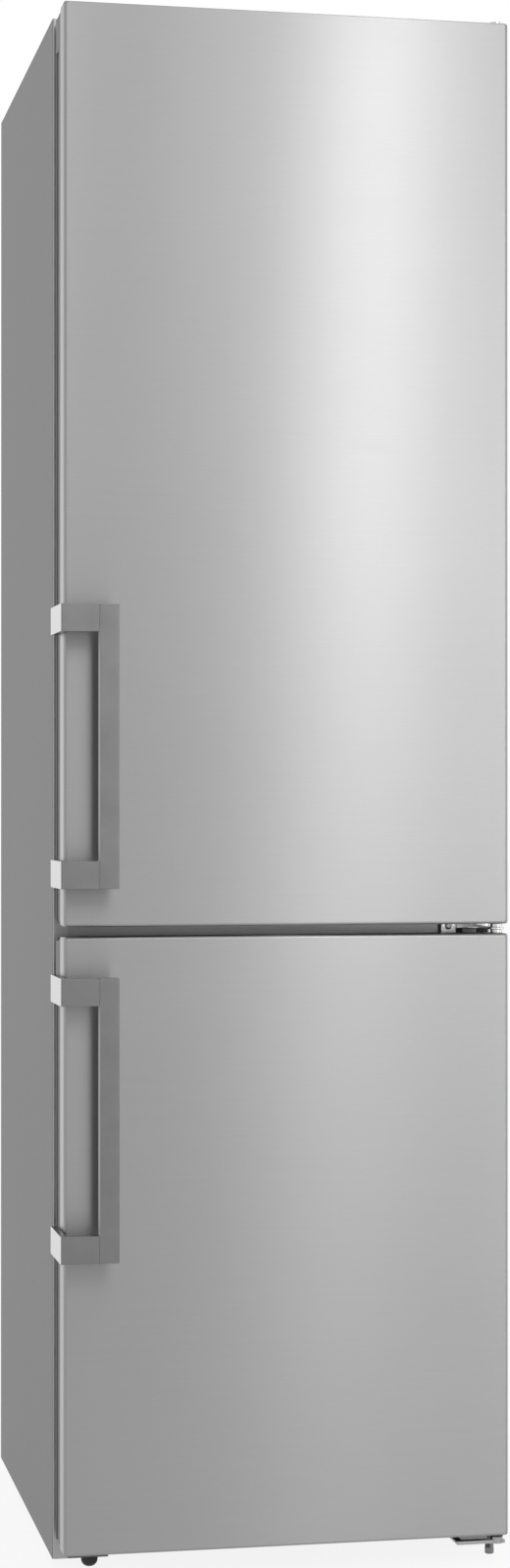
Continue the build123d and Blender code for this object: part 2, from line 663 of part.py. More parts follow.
def make_door(prefix, low, high, handle_low, liner_reach):
    """The skin, frame, foam, liner and gasket of one door."""
    with BuildPart() as skin:
        with BuildSketch(Plane.XY.offset(low)) as outline:
            with Locations((0, door_y + skin_depth / 2)):
                Rectangle(door_width, skin_depth)
            fillet(outline.vertices().group_by(Axis.Y)[0], door_edge_radius)
        extrude(amount=high - low)
        with BuildSketch(Plane.XY.offset(low + steel_sheet)) as inside:
            with Locations((0, door_y + steel_sheet + skin_depth / 2)):
                Rectangle(door_width - 2 * steel_sheet, skin_depth)
            fillet(inside.vertices().group_by(Axis.Y)[0], door_edge_radius - steel_sheet)
        extrude(amount=high - low - 2 * steel_sheet, mode=Mode.SUBTRACT)
        rod((pin_x, pin_y, low - overrun), (0, 0, 1), pin_radius + clearance, high - low + 2 * overrun,
            mode=Mode.SUBTRACT)
    finish(skin, f"{prefix}_door_skin")

    block_x = half_door - steel_sheet - hinge_block
    ends = ((low + steel_sheet, low + steel_sheet + hinge_block),
            (high - steel_sheet - hinge_block, high - steel_sheet))
    with BuildPart() as frame:
        block((-half_door, frame_y, low), (half_door, gasket_y, high))
        block((-half_door + frame_wall, frame_y - overrun, low + frame_wall),
              (half_door - frame_wall, gasket_y + overrun, high - frame_wall), mode=Mode.SUBTRACT)
        for bottom, top in ends:
            block((block_x, door_y + door_edge_radius, bottom), (half_door - steel_sheet, frame_y, top))
        for start in (low - overrun, high - pin_length - overrun):
            rod((pin_x, pin_y, start), (0, 0, 1), pin_radius + running_fit, pin_length + 2 * overrun,
                mode=Mode.SUBTRACT)
        for level in arm_levels(handle_low):
            rod((-half_door + plunger_from_side, door_y + plunger_front - clearance, level + arm_height / 2),
                (0, 1, 0), plunger_radius + clearance, frame_depth + skin_depth, mode=Mode.SUBTRACT)
    finish(frame, f"{prefix}_door_frame")

    with BuildPart() as foam:
        block((-half_door + steel_sheet, door_y + door_edge_radius, low + steel_sheet),
              (half_door - steel_sheet, frame_y, high - steel_sheet))
        block((-half_door + door_edge_radius, door_y + steel_sheet, low + steel_sheet),
              (half_door - door_edge_radius, door_y + door_edge_radius, high - steel_sheet))
        block((-half_door + frame_wall, frame_y, low + frame_wall),
              (half_door - frame_wall, door_liner_y, high - frame_wall))
        for bottom, top in ends:
            block((block_x, door_y, bottom), (half_door, frame_y, top), mode=Mode.SUBTRACT)
    finish(foam, f"{prefix}_door_foam")

    dyke_low = low + gasket_inset + gasket_width + dyke_end_margin
    dyke_high = high - gasket_inset - gasket_width - dyke_end_margin
    with BuildPart() as liner:
        block((-half_door + frame_wall, door_liner_y, low + frame_wall),
              (half_door - frame_wall, rack_y, high - frame_wall))
        block((-dyke_half_width, rack_y, dyke_low), (dyke_half_width, liner_reach, dyke_high))
        block((-dyke_half_width + dyke_wall, rack_y, dyke_low + dyke_wall),
              (dyke_half_width - dyke_wall, liner_reach + overrun, dyke_high - dyke_wall),
              mode=Mode.SUBTRACT)
        fillet(liner.edges().filter_by(Axis.Y).group_by(SortBy.LENGTH)[-1], dyke_round)
    finish(liner, f"{prefix}_door_liner")

    with BuildPart() as gasket:
        outer = half_door - gasket_inset
        inner = outer - gasket_width
        block((-outer, gasket_y, low + gasket_inset), (outer, cabinet_y - clearance, high - gasket_inset))
        block((-inner, gasket_y - overrun, low + gasket_inset + gasket_width),
              (inner, cabinet_y + overrun, high - gasket_inset - gasket_width), mode=Mode.SUBTRACT)
    finish(gasket, f"{prefix}_door_gasket")
    return dyke_low, dyke_high


upper_handle_low = upper_door_bottom + handle_from_edge
lower_handle_low = lower_door_top - handle_from_edge - handle_length
dyke_low, dyke_high = make_door("upper", upper_door_bottom, upper_door_top, upper_handle_low,
                                cabinet_y + dyke_reach)
make_door("lower", door_bottom, lower_door_top, lower_handle_low, cabinet_y - freezer_dyke_reach + overrun)

rack_half = dyke_half_width - dyke_wall - clearance
rack_back = cabinet_y + rack_reach
for i, (height, share) in enumerate(zip(rack_heights, rack_level_shares)):
    level = dyke_low + dyke_wall + (dyke_high - dyke_low - 2 * dyke_wall) * share
    with BuildPart() as rack:
        block((-rack_half, rack_y, level), (rack_half, rack_back, level + height))
        fillet(rack.edges().filter_by(Axis.Z).group_by(Axis.Y)[-1], dyke_wall)
        block((-rack_half + rack_wall, rack_y + rack_wall, level + rack_wall),
              (rack_half - rack_wall, rack_back - rack_wall, level + height + overrun), mode=Mode.SUBTRACT)
    finish(rack, f"door_rack_{i + 1}")

# Handles: two mounts on the door's edge, two arms round the edge, a bar, and two plungers

side_x = -half_door
cap_x = side_x - cap_stand_off
lever_x = side_x - lever_pivot_from_side
lever_y = door_y + lever_pivot_from_front
arm_end_x = side_x + arm_end_from_edge

for prefix, low in (("upper", upper_handle_low), ("lower", lower_handle_low)):
    with BuildPart() as mounts:
        for level in arm_levels(low):
            bottom = level + cap_flange + clearance
            top = level + arm_height - cap_flange - clearance
            block((cap_x + cap_sheet + clearance, door_y + mount_front, bottom), (side_x, lever_y, top))
            rod((lever_x, lever_y, bottom), (0, 0, 1), mount_wall, top - bottom)
            block((lever_x, lever_y, bottom), (side_x, lever_y + mount_wall, top))
            rod((lever_x, lever_y, level), (0, 0, 1), lever_pin_radius, arm_height)
    finish(mounts, f"{prefix}_handle_mounts")

    with BuildPart() as arms:
        for level in arm_levels(low):
            top = level + arm_height
            block((cap_x, handle_y, level), (arm_end_x, handle_y + arm_thickness, top))
            block((cap_x, handle_y, level), (cap_x + cap_sheet, door_y + cap_rear, top))
            for bottom in (level, top - cap_flange):
                block((cap_x, handle_y, bottom),
                      (cap_x + cap_sheet + flange_reach, door_y + cap_rear, bottom + cap_flange))
        for level in arm_levels(low):
            rod((lever_x, lever_y, level - overrun), (0, 0, 1), lever_pin_radius + running_fit,
                arm_height + 2 * overrun, mode=Mode.SUBTRACT)
    finish(arms, f"{prefix}_handle_arms")

    with BuildPart() as bar:
        block((arm_end_x, handle_y, low),
              (arm_end_x + bar_width, handle_y + bar_thickness, low + handle_length))
        chamfer(bar.edges().filter_by(Axis.Z).group_by(Axis.Y)[0], seam_chamfer)
        chamfer(bar.edges().filter_by(Axis.Z).group_by(Axis.Y)[-1].sort_by(Axis.X)[-1], seam_chamfer)
    finish(bar, f"{prefix}_handle_bar")

    with BuildPart() as plungers:
        for level in arm_levels(low):
            rod((side_x + plunger_from_side, door_y + plunger_front, level + arm_height / 2), (0, 1, 0),
                plunger_radius, door_reach - plunger_stop_gap - plunger_front)
    finish(plungers, f"{prefix}_handle_plungers")

# Hinges

tab_left = pin_x + hinge_tip_radius - hinge_tab_width
tab_y = cabinet_y - hinge_plate
arm_left = pin_x - hinge_tip_radius
arm_right = pin_x + hinge_tip_radius
wide_left = arm_right - upper_plate_width

with BuildPart() as upper_hinge:
    with BuildSketch(Plane.XY.offset(cabinet_top)):
        with BuildLine():
            Polyline((arm_left, pin_y), (arm_left, cabinet_y), (wide_left, cabinet_y + upper_plate_shoulder),
                     (wide_left, pin_y + upper_plate_length), (arm_right, pin_y + upper_plate_length),
                     (arm_right, pin_y), (arm_left, pin_y))
        make_face()
        with Locations((pin_x, pin_y)):
            Circle(hinge_tip_radius)
    extrude(amount=hinge_plate)
    rod((pin_x, pin_y, upper_door_top - pin_length), (0, 0, 1), pin_radius,
        cabinet_top - upper_door_top + pin_length)
finish(upper_hinge, "upper_hinge")

plate_bottom = middle_level - hinge_plate / 2

with BuildPart() as middle_hinge:
    block((tab_left, tab_y, middle_level - hinge_tab_height / 2),
          (arm_right, cabinet_y, middle_level + hinge_tab_height / 2))
    block((arm_left, pin_y, plate_bottom), (arm_right, cabinet_y, plate_bottom + hinge_plate))
    rod((pin_x, pin_y, plate_bottom), (0, 0, 1), hinge_tip_radius, hinge_plate)
    rod((pin_x, pin_y, lower_door_top + clearance), (0, 0, 1), shoulder_radius, door_gap - 2 * clearance)
    rod((pin_x, pin_y, lower_door_top - pin_length), (0, 0, 1), pin_radius, door_gap + 2 * pin_length)
finish(middle_hinge, "middle_hinge")

foot_hole_x = half_cabinet - hinge_foot_from_side
foot_hole_y = door_y + hinge_foot_from_front
lower_left = half_door - lower_plate_left
lower_tip_y = pin_y - hinge_tip_radius / 2

with BuildPart() as lower_hinge:
    with BuildSketch(Plane.XY.offset(lower_plate_level)):
        with BuildLine():
            Polyline((lower_left, cabinet_y), (lower_left, lower_tip_y), (arm_right, lower_tip_y),
                     (half_cabinet, foot_hole_y), (half_cabinet, cabinet_y), (lower_left, cabinet_y))
        make_face()
    extrude(amount=hinge_plate)
    block((lower_left, tab_y, lower_plate_level), (half_cabinet, cabinet_y, door_bottom - clearance))
    block((lower_left, foot_hole_y, lower_plate_level),
          (lower_left + hinge_plate, cabinet_y, lower_plate_level + hinge_plate + lower_plate_lip))
    block((lower_left, lower_tip_y, lower_plate_level),
          (arm_right, lower_tip_y + hinge_plate, lower_plate_level + hinge_plate + lower_plate_nose_lip))
    rod((pin_x, pin_y, lower_plate_level), (0, 0, 1), shoulder_radius,
        door_bottom - clearance - lower_plate_level)
    rod((pin_x, pin_y, lower_plate_level), (0, 0, 1), pin_radius,
        door_bottom + pin_length - lower_plate_level)
    rod((foot_hole_x, foot_hole_y, lower_plate_level - overrun), (0, 0, 1), hinge_foot_radius + running_fit,
        hinge_plate + 2 * overrun, mode=Mode.SUBTRACT)
finish(lower_hinge, "lower_hinge")

screw_heads = []
for k in (0, 1):
    screw_heads.append(((tab_left + hinge_tip_radius + k * screw_spacing, tab_y, middle_level), (0, -1, 0)))
    screw_heads.append(((lower_left + hinge_tip_radius + k * screw_spacing, tab_y,
                         (lower_plate_level + hinge_plate + door_bottom) / 2), (0, -1, 0)))
    for j in (0, 1):
        screw_y = cabinet_y + upper_plate_width / 2 + j * screw_spacing
        screw_heads.append(((pin_x - k * screw_spacing, screw_y, cabinet_top + hinge_plate), (0, 0, 1)))

with BuildPart() as hinge_screws:
    for place, direction in screw_heads:
        rod(place, direction, screw_head_radius, screw_head_height)
        top = Vector(*place) + Vector(*direction) * screw_head_height
        rod(tuple(top), tuple(Vector(*direction) * -1), screw_socket_radius, screw_socket_depth,
            mode=Mode.SUBTRACT)
finish(hinge_screws, "hinge_screws")

# Front feet

with BuildPart() as left_foot:
    rod((foot_x, foot_y, 0), (0, 0, 1), foot_radius, cabinet_bottom - clearance)
    fillet(left_foot.edges().filter_by(GeomType.CIRCLE).group_by(Axis.Z)[0], foot_round)
    rod((foot_x, foot_y, cabinet_bottom - clearance), (0, 0, 1), stud_radius, stud_length)
finish(left_foot, "left_foot")

with BuildPart() as right_foot:
    rod((foot_hole_x, foot_hole_y, 0), (0, 0, 1), hinge_foot_radius, hinge_foot_length)
    chamfer(right_foot.edges().filter_by(GeomType.CIRCLE), hinge_foot_chamfer)
finish(right_foot, "right_foot")
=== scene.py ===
import json
import math

import bmesh
import bpy
import numpy as np
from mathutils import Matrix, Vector


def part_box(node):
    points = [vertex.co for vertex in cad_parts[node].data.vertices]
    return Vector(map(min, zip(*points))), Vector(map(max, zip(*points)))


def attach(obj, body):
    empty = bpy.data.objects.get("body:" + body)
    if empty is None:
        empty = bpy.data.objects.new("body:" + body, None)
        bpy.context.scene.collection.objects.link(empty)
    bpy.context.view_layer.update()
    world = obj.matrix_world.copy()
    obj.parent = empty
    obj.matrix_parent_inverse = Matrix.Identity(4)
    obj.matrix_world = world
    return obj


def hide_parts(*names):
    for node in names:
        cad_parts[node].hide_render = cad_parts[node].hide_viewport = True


# Looks of the tall fridge freezer: finer pieces, finishes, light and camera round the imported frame.
# Metres throughout: X across the front, Y from the front to the back, Z up from the floor.

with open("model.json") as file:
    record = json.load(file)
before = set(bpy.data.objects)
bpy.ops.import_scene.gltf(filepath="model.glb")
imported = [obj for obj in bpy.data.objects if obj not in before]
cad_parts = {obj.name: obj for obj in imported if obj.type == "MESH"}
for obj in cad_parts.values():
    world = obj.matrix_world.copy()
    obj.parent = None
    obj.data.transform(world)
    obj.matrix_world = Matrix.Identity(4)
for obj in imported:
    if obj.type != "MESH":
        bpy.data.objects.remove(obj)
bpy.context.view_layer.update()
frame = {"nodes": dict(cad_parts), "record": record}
nodes = frame["nodes"]


def placed(name, data):
    """A new object that shows a mesh, a lamp or a camera, at the origin."""
    thing = bpy.data.objects.new(name, data)
    bpy.context.scene.collection.objects.link(thing)
    return thing


# Camera: placed by the door and cabinet corners of the photograph

CAMERA_PLACE = (-0.783, -3.9792, 0.9994)
CAMERA_YAW = 0.1927
CAMERA_PITCH = 0.0028
PHOTO_WIDTH = 520.0
PHOTO_HEIGHT = 1600.0
FOCAL_PIXELS = 2966.1
AXIS_PIXEL = (240.9, 807.9)
SENSOR_HEIGHT = 36.0


def make_camera():
    """The camera of the photograph: its place, its direction and where its axis meets the picture."""
    data = bpy.data.cameras.new("camera")
    data.sensor_width = SENSOR_HEIGHT
    data.lens = FOCAL_PIXELS / PHOTO_HEIGHT * SENSOR_HEIGHT
    data.shift_x = (PHOTO_WIDTH / 2 - AXIS_PIXEL[0]) / PHOTO_HEIGHT
    data.shift_y = (AXIS_PIXEL[1] - PHOTO_HEIGHT / 2) / PHOTO_HEIGHT
    camera = placed("camera", data)
    forward = Vector((math.sin(CAMERA_YAW) * math.cos(CAMERA_PITCH),
                      math.cos(CAMERA_YAW) * math.cos(CAMERA_PITCH),
                      math.sin(CAMERA_PITCH)))
    camera.location = CAMERA_PLACE
    camera.rotation_euler = forward.to_track_quat("-Z", "Y").to_euler()
    bpy.context.scene.camera = camera


make_camera()

# Shader writing


class Wire:
    """One output of a material's nodes. Arithmetic on wires and numbers adds the Math nodes."""

    def __init__(self, tree, socket=None):
        self.tree = tree
        self.socket = socket

    def node(self, kind, inputs=None, settings=None, output=0):
        """Add a node, set its settings, then its sockets by name or number, and return one output."""
        made = self.tree.nodes.new("ShaderNode" + kind)
        for name, value in (settings or {}).items():
            setattr(made, name, value)
        for name, value in (inputs or {}).items():
            if isinstance(value, Wire):
                self.tree.links.new(value.socket, made.inputs[name])
            else:
                made.inputs[name].default_value = value
        return Wire(self.tree, made.outputs[output] if made.outputs else made.inputs[0])

    def math(self, operation, *values):
        """A Math node of that operation on wires and numbers."""
        return self.node("Math", dict(enumerate(values)), {"operation": operation})

    def __add__(self, other):
        return self.math("ADD", self, other)

    def __mul__(self, other):
        return self.math("MULTIPLY", self, other)

    __radd__ = __add__


def grey(level, warmth=0.0):
    """A linear grey, slightly warm for a positive warmth and slightly cool for a negative one."""
    return (level * (1 + warmth), level, level * (1 - warmth), 1.0)


def around(middle, spread, pattern):
    """A value that a pattern from 0 to 1 swings evenly round its middle."""
    return middle - spread / 2 + pattern * spread


class Finish:
    """A material in the making, with the patterns that this object's finishes share."""

    def __init__(self, name):
        self.material = bpy.data.materials.new(name)
        self.material.use_nodes = True
        self.tree = self.material.node_tree
        self.tree.nodes.clear()
        self.start = Wire(self.tree)

    def place(self, stretch):
        """The piece's own coordinates in metres, stretched by one number or by one for each axis."""
        coordinates = self.start.node("TexCoord", output="Object")
        scale = stretch if isinstance(stretch, tuple) else (stretch, stretch, stretch)
        return self.start.node("Mapping", {"Vector": coordinates, "Scale": scale})

    def noise(self, stretch, detail=3.0, roughness=0.55):
        """A cloudy pattern from 0 to 1, with stretch features to the metre."""
        return self.start.node("TexNoise", {"Vector": self.place(stretch), "Scale": 1.0,
                                            "Detail": detail, "Roughness": roughness})

    def mix(self, share, first, second):
        """A colour between two colours, by a share from 0 to 1."""
        return self.start.node("Mix", {0: share, 6: first, 7: second}, {"data_type": "RGBA"}, output=2)

    def tone(self, pattern, level, warmth, dark, light):
        """A grey between a dark and a light share of its level, as a pattern goes from 0 to 1."""
        return self.mix(pattern, grey(level * dark, warmth), grey(level * light, warmth))

    def bump(self, height, depth, strength):
        """A normal tilted by a height pattern whose full range is depth metres."""
        return self.start.node("Bump", {"Height": height, "Distance": depth, "Strength": strength})

    def done(self, **values):
        """Feed the one main shader, close the material and return it."""
        inputs = {name.replace("_", " "): value for name, value in values.items()}
        shader = self.start.node("BsdfPrincipled", inputs)
        self.start.node("OutputMaterial", {"Surface": shader})
        return self.material


def brushed_steel(name, level, grain, rough, spread, turn=0.25, streak_share=0.55, warmth=0.004):
    """Ground stainless steel: grain is the count of streaks to the metre along each axis."""
    finish = Finish(name)
    streaks = finish.noise(grain, detail=4.0, roughness=0.7)
    clouds = finish.noise(2.5, detail=2.0)
    tone = finish.mix(streaks * streak_share + clouds * (1 - streak_share),
                      grey(level * 0.9, -warmth), grey(level * 1.1, warmth))
    return finish.done(Base_Color=tone, Metallic=1.0, Roughness=around(rough, 0.08, streaks),
                       Anisotropic=spread, Anisotropic_Rotation=turn,
                       Normal=finish.bump(streaks, depth=0.00002, strength=0.25))


def plain_metal(name, level, rough, warmth=0.0, mottle=60.0):
    """Cast, drawn or plated metal with a fine mottle in its colour and gloss."""
    finish = Finish(name)
    cloud = finish.noise(mottle)
    fine = finish.noise(900.0, detail=2.0)
    tone = finish.tone(cloud, level, warmth, dark=0.88, light=1.1)
    return finish.done(Base_Color=tone, Metallic=1.0, Roughness=around(rough, 0.12, cloud),
                       Normal=finish.bump(fine, depth=0.00003, strength=0.3))


def painted_sheet(name, level):
    """Powder-painted sheet steel: an even coat with a fine orange-peel skin."""
    finish = Finish(name)
    peel = finish.noise(420.0, detail=2.0)
    cloud = finish.noise((1.6, 1.6, 1.1), detail=2.0)
    tone = finish.tone(cloud, level, 0.0, dark=0.97, light=1.03)
    return finish.done(Base_Color=tone, Roughness=around(0.47, 0.1, peel), Specular_IOR_Level=0.25,
                       Normal=finish.bump(peel, depth=0.00006, strength=0.35))


def moulded_plastic(name, level, warmth=0.0, rough=0.4):
    """Moulded plastic with a fine spark-eroded texture and slight flow marks."""
    finish = Finish(name)
    grain = finish.noise(700.0, detail=2.0)
    flow = finish.noise((6.0, 6.0, 2.0))
    tone = finish.tone(flow, level, warmth, dark=0.95, light=1.04)
    return finish.done(Base_Color=tone, Roughness=around(rough, 0.08, grain) + flow * 0.04,
                       Normal=finish.bump(grain, depth=0.00005, strength=0.3))


def soft_rubber(name, level):
    """Matt flexible rubber with a slight bloom."""
    finish = Finish(name)
    bloom = finish.noise(30.0, detail=4.0)
    tone = finish.tone(bloom, level, 0.0, dark=0.8, light=1.2)
    return finish.done(Base_Color=tone, Roughness=around(0.695, 0.15, bloom),
                       Normal=finish.bump(finish.noise(500.0), depth=0.00004, strength=0.3))


def clear_sheet(name, colour, rough, ior):
    """Clear glass or plastic, with faint waves and handling haze in its gloss."""
    finish = Finish(name)
    haze = finish.noise(9.0, detail=4.0)
    return finish.done(Base_Color=colour, Roughness=rough + haze * 0.05, IOR=ior, Transmission_Weight=1.0,
                       Normal=finish.bump(haze, depth=0.00015, strength=0.1))


def open_foam(name, dark=(0.78, 0.7, 0.5, 1.0), light=(0.86, 0.8, 0.62, 1.0)):
    """Rigid foam: a skin of small cells over a mottled cream."""
    finish = Finish(name)
    cells = finish.start.node("TexVoronoi", {"Vector": finish.place(450.0), "Scale": 1.0})
    tone = finish.mix(finish.noise(8.0), dark, light)
    return finish.done(Base_Color=tone, Roughness=0.9, Normal=finish.bump(cells, depth=0.0004, strength=0.6))


steel_front = brushed_steel("steel_front", 0.3, (14.0, 14.0, 900.0), rough=0.34, spread=0.95)
cabinet_grey = painted_sheet("cabinet_grey", 0.183)
# Painted light for the handle bar's shaded left faces.
bar_side_painted_light = moulded_plastic("bar_side_painted_light", 0.5, rough=0.35)
rail_steel = plain_metal("rail_steel", 0.28, rough=0.34)
pan_grey = painted_sheet("pan_grey", 0.2)
bracket_metal = plain_metal("bracket_metal", 0.36, rough=0.4)
bolt_metal = plain_metal("bolt_metal", 0.2, rough=0.35, mottle=200.0)
frame_dark = moulded_plastic("frame_dark", 0.12, rough=0.45)
handle_metal = plain_metal("handle_metal", 0.185, rough=0.3, mottle=30.0)
# A lighter copy of the handle metal: painted sheen for the handle arms' left faces.
painted_sheen_metal = plain_metal("painted_sheen_metal", 0.65, rough=0.26, mottle=30.0)
bright_steel = plain_metal("bright_steel", 0.62, rough=0.25, warmth=0.01)
gasket_grey = soft_rubber("gasket_grey", 0.3)
liner_white = moulded_plastic("liner_white", 0.82, warmth=-0.005, rough=0.3)
clear_plastic = clear_sheet("clear_plastic", (0.93, 0.96, 0.98, 1.0), rough=0.06, ior=1.49)
shelf_glass = clear_sheet("shelf_glass", (0.86, 0.95, 0.91, 1.0), rough=0.0, ior=1.5)
foam_cream = open_foam("foam_cream")
black_plastic = moulded_plastic("black_plastic", 0.018, rough=0.6)
zinc_steel = plain_metal("zinc_steel", 0.5, rough=0.38, warmth=-0.02)
compressor_black = painted_sheet("compressor_black", 0.03)
coil_metal = plain_metal("coil_metal", 0.3, rough=0.45)
control_grey = moulded_plastic("control_grey", 0.45)
spring_grey = plain_metal("spring_grey", 0.3, rough=0.35)
# Painted light: a lighter grey for the shaded groove of the door frames.
groove_painted_light = moulded_plastic("groove_painted_light", 0.19, rough=0.6)
shelf_trim = moulded_plastic("shelf_trim", 0.7, warmth=-0.005, rough=0.25)
screw_steel = plain_metal("screw_steel", 0.4, rough=0.3, mottle=300.0)
lamp_lens = moulded_plastic("lamp_lens", 0.85, warmth=0.01, rough=0.2)
frosted_plastic = clear_sheet("frosted_plastic", (0.9, 0.94, 0.96, 1.0), rough=0.3, ior=1.49)

# Shaping surfaces

TINY = 0.0002
QUARTER_STEPS = 5
WELD_REACH = 0.000005
CREASE_DEGREES = 35.0
BEVEL_DEGREES = 40.0
FACING_SHARE = 0.7


def corners(node):
    """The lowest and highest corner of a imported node, as arrays."""
    low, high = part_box(node)
    return np.array(low), np.array(high)


def front_box(node):
    """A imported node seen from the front: its west, east, low and high, then its front and back levels."""
    low, high = corners(node)
    return (low[0], high[0], low[2], high[2]), low[1], high[1]


def plan_box(node):
    """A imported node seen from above: its west, east, front and back, then its low and high levels."""
    low, high = corners(node)
    return (low[0], high[0], low[1], high[1]), low[2], high[2]


def drawn(box, inset, radius, level):
    """A row for lofted: a box (west, east, low, high) drawn in by an inset."""
    west, east, low, high = box
    return (west + inset, east - inset, low + inset, high - inset, radius, level)


def quarter(steps=QUARTER_STEPS):
    """Evenly spread angles over a quarter turn."""
    return np.linspace(0.0, math.pi / 2, steps)


def full_turn(steps):
    """Evenly spread angles over a whole turn, the last one a step short of it."""
    return np.arange(steps) / steps * 2 * math.pi


def lofted(rows, steps=QUARTER_STEPS):
    """Rounded rectangles stacked into a surface. Each row is west, east, low, high, corner radius and level.
    A point is a corner's centre plus the radius times an angle's direction, a quarter turn to a corner."""
    west, east, low, high, radius, level = (column[:, None] for column in np.array(rows, float).T)
    angle = np.concatenate([quarter(steps) + k * math.pi / 2 for k in range(4)])
    eastern = np.repeat([True, False, False, True], steps)
    upper = np.repeat([True, True, False, False], steps)
    across = np.where(eastern, east - radius, west + radius) + radius * np.cos(angle)
    along = np.where(upper, high - radius, low + radius) + radius * np.sin(angle)
    return np.stack([across, along, np.broadcast_to(level, across.shape)], axis=-1)


def turned(rows, first, last, steps=QUARTER_STEPS, level_first=False):
    """Add to rows a quarter round from a first row to a last one: the box goes by the sine of the angle and
    the level by one less its cosine, or the other way round."""
    first, last = np.array(first, float), np.array(last, float)
    angle = quarter(steps)[:, None]
    fast, slow = np.sin(angle), 1 - np.cos(angle)
    share = np.repeat(slow if level_first else fast, 6, axis=1)
    share[:, 5:] = fast if level_first else slow
    return rows + list(first + (last - first) * share)


def bent(rows, box, first, last, steps=QUARTER_STEPS, level_first=False):
    """As turned, between two rows of one box, each given by its inset, its corner radius and its level."""
    return turned(rows, drawn(box, *first), drawn(box, *last), steps, level_first)


def outline(*corner_list, steps=QUARTER_STEPS):
    """A closed outline from corners (a, b, radius), each rounded by an arc that touches both its sides.
    An arc's point is its centre plus the two end spokes, weighted by the sines of the angle still to go."""
    table = np.array(corner_list, float)
    points, radius = table[:, :2], np.maximum(table[:, 2:], TINY)
    before = np.roll(points, 1, axis=0) - points
    after = np.roll(points, -1, axis=0) - points
    before /= np.linalg.norm(before, axis=1, keepdims=True)
    after /= np.linalg.norm(after, axis=1, keepdims=True)
    half = np.arccos(np.clip((before * after).sum(axis=1, keepdims=True), -1, 1)) / 2
    start = points + before * radius / np.tan(half)
    end = points + after * radius / np.tan(half)
    middle = before + after
    centre = points + middle / np.linalg.norm(middle, axis=1, keepdims=True) * radius / np.sin(half)
    turn = (math.pi - 2 * half)[:, None, :]
    share = np.linspace(0.0, 1.0, steps)[None, :, None]
    spokes = np.sin((1 - share) * turn) * (start - centre)[:, None, :]
    spokes = (spokes + np.sin(share * turn) * (end - centre)[:, None, :]) / np.sin(turn)
    path = (centre[:, None, :] + spokes).reshape(-1, 2)
    ahead = np.roll(path, -1, axis=0)
    area = (path[:, 0] * ahead[:, 1] - ahead[:, 0] * path[:, 1]).sum()
    return path if area > 0 else path[::-1]


def extruded(path, low, high, edge, steps=3):
    """A closed outline carried from a low to a high level, its two rims rounded by a quarter of radius edge.
    At a rim each point moves inwards along the mean of its two sides' normals."""
    side = np.roll(path, -1, axis=0) - path
    side /= np.linalg.norm(side, axis=1, keepdims=True)
    ahead = np.stack([side[:, 1], -side[:, 0]], axis=1)
    behind = np.roll(ahead, 1, axis=0)
    outward = (ahead + behind) / (1 + (ahead * behind).sum(axis=1, keepdims=True))
    angle = quarter(steps)
    inset = np.concatenate([edge * (1 - np.sin(angle)), edge * (1 - np.cos(angle))])
    level = np.concatenate([low + edge * (1 - np.cos(angle)), high - edge * (1 - np.sin(angle))])
    grid = path[None] - outward[None] * inset[:, None, None]
    return np.concatenate([grid, np.broadcast_to(level[:, None, None], (*grid.shape[:2], 1))], axis=-1)


def laid(grid, axes):
    """Points (across, along, level) put on the named world axes, such as "xzy"."""
    return np.stack([grid[..., axes.index(axis)] for axis in "xyz"], axis=-1)


def revolved(profile, centre, axes="xyz", steps=32, wave=1.0):
    """A profile of (radius, level) turned round an axis: the radius, times a wave of its own at each point,
    times the cosine and sine of the angle."""
    radius, level = (column[:, None] for column in np.array(profile, float).T)
    angle, reach = full_turn(steps), radius * wave
    grid = np.stack([reach * np.cos(angle), reach * np.sin(angle), level + 0 * angle], axis=-1)
    return laid(grid, axes) + np.array(centre)


def barrel(radius, low, high, edge):
    """The profile of a plain round block with a small edge: for revolved."""
    return [(radius - edge, low), (radius, low + edge), (radius, high - edge), (radius - edge, high)]


def hung(name, mesh, body, replaces, crease, bevel=0.0):
    """Show a mesh with even shading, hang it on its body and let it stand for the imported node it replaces."""
    mesh.shade_smooth()
    mesh.set_sharp_from_angle(angle=math.radians(crease))
    thing = placed(name, mesh)
    if bevel:
        edge = thing.modifiers.new("edge", "BEVEL")
        edge.width = bevel
        edge.segments = 2
        edge.limit_method = "ANGLE"
        edge.angle_limit = math.radians(BEVEL_DEGREES)
    shading = thing.modifiers.new("even_shading", "WEIGHTED_NORMAL")
    shading.keep_sharp = True
    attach(thing, body)
    if replaces:
        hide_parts(replaces)
    return thing


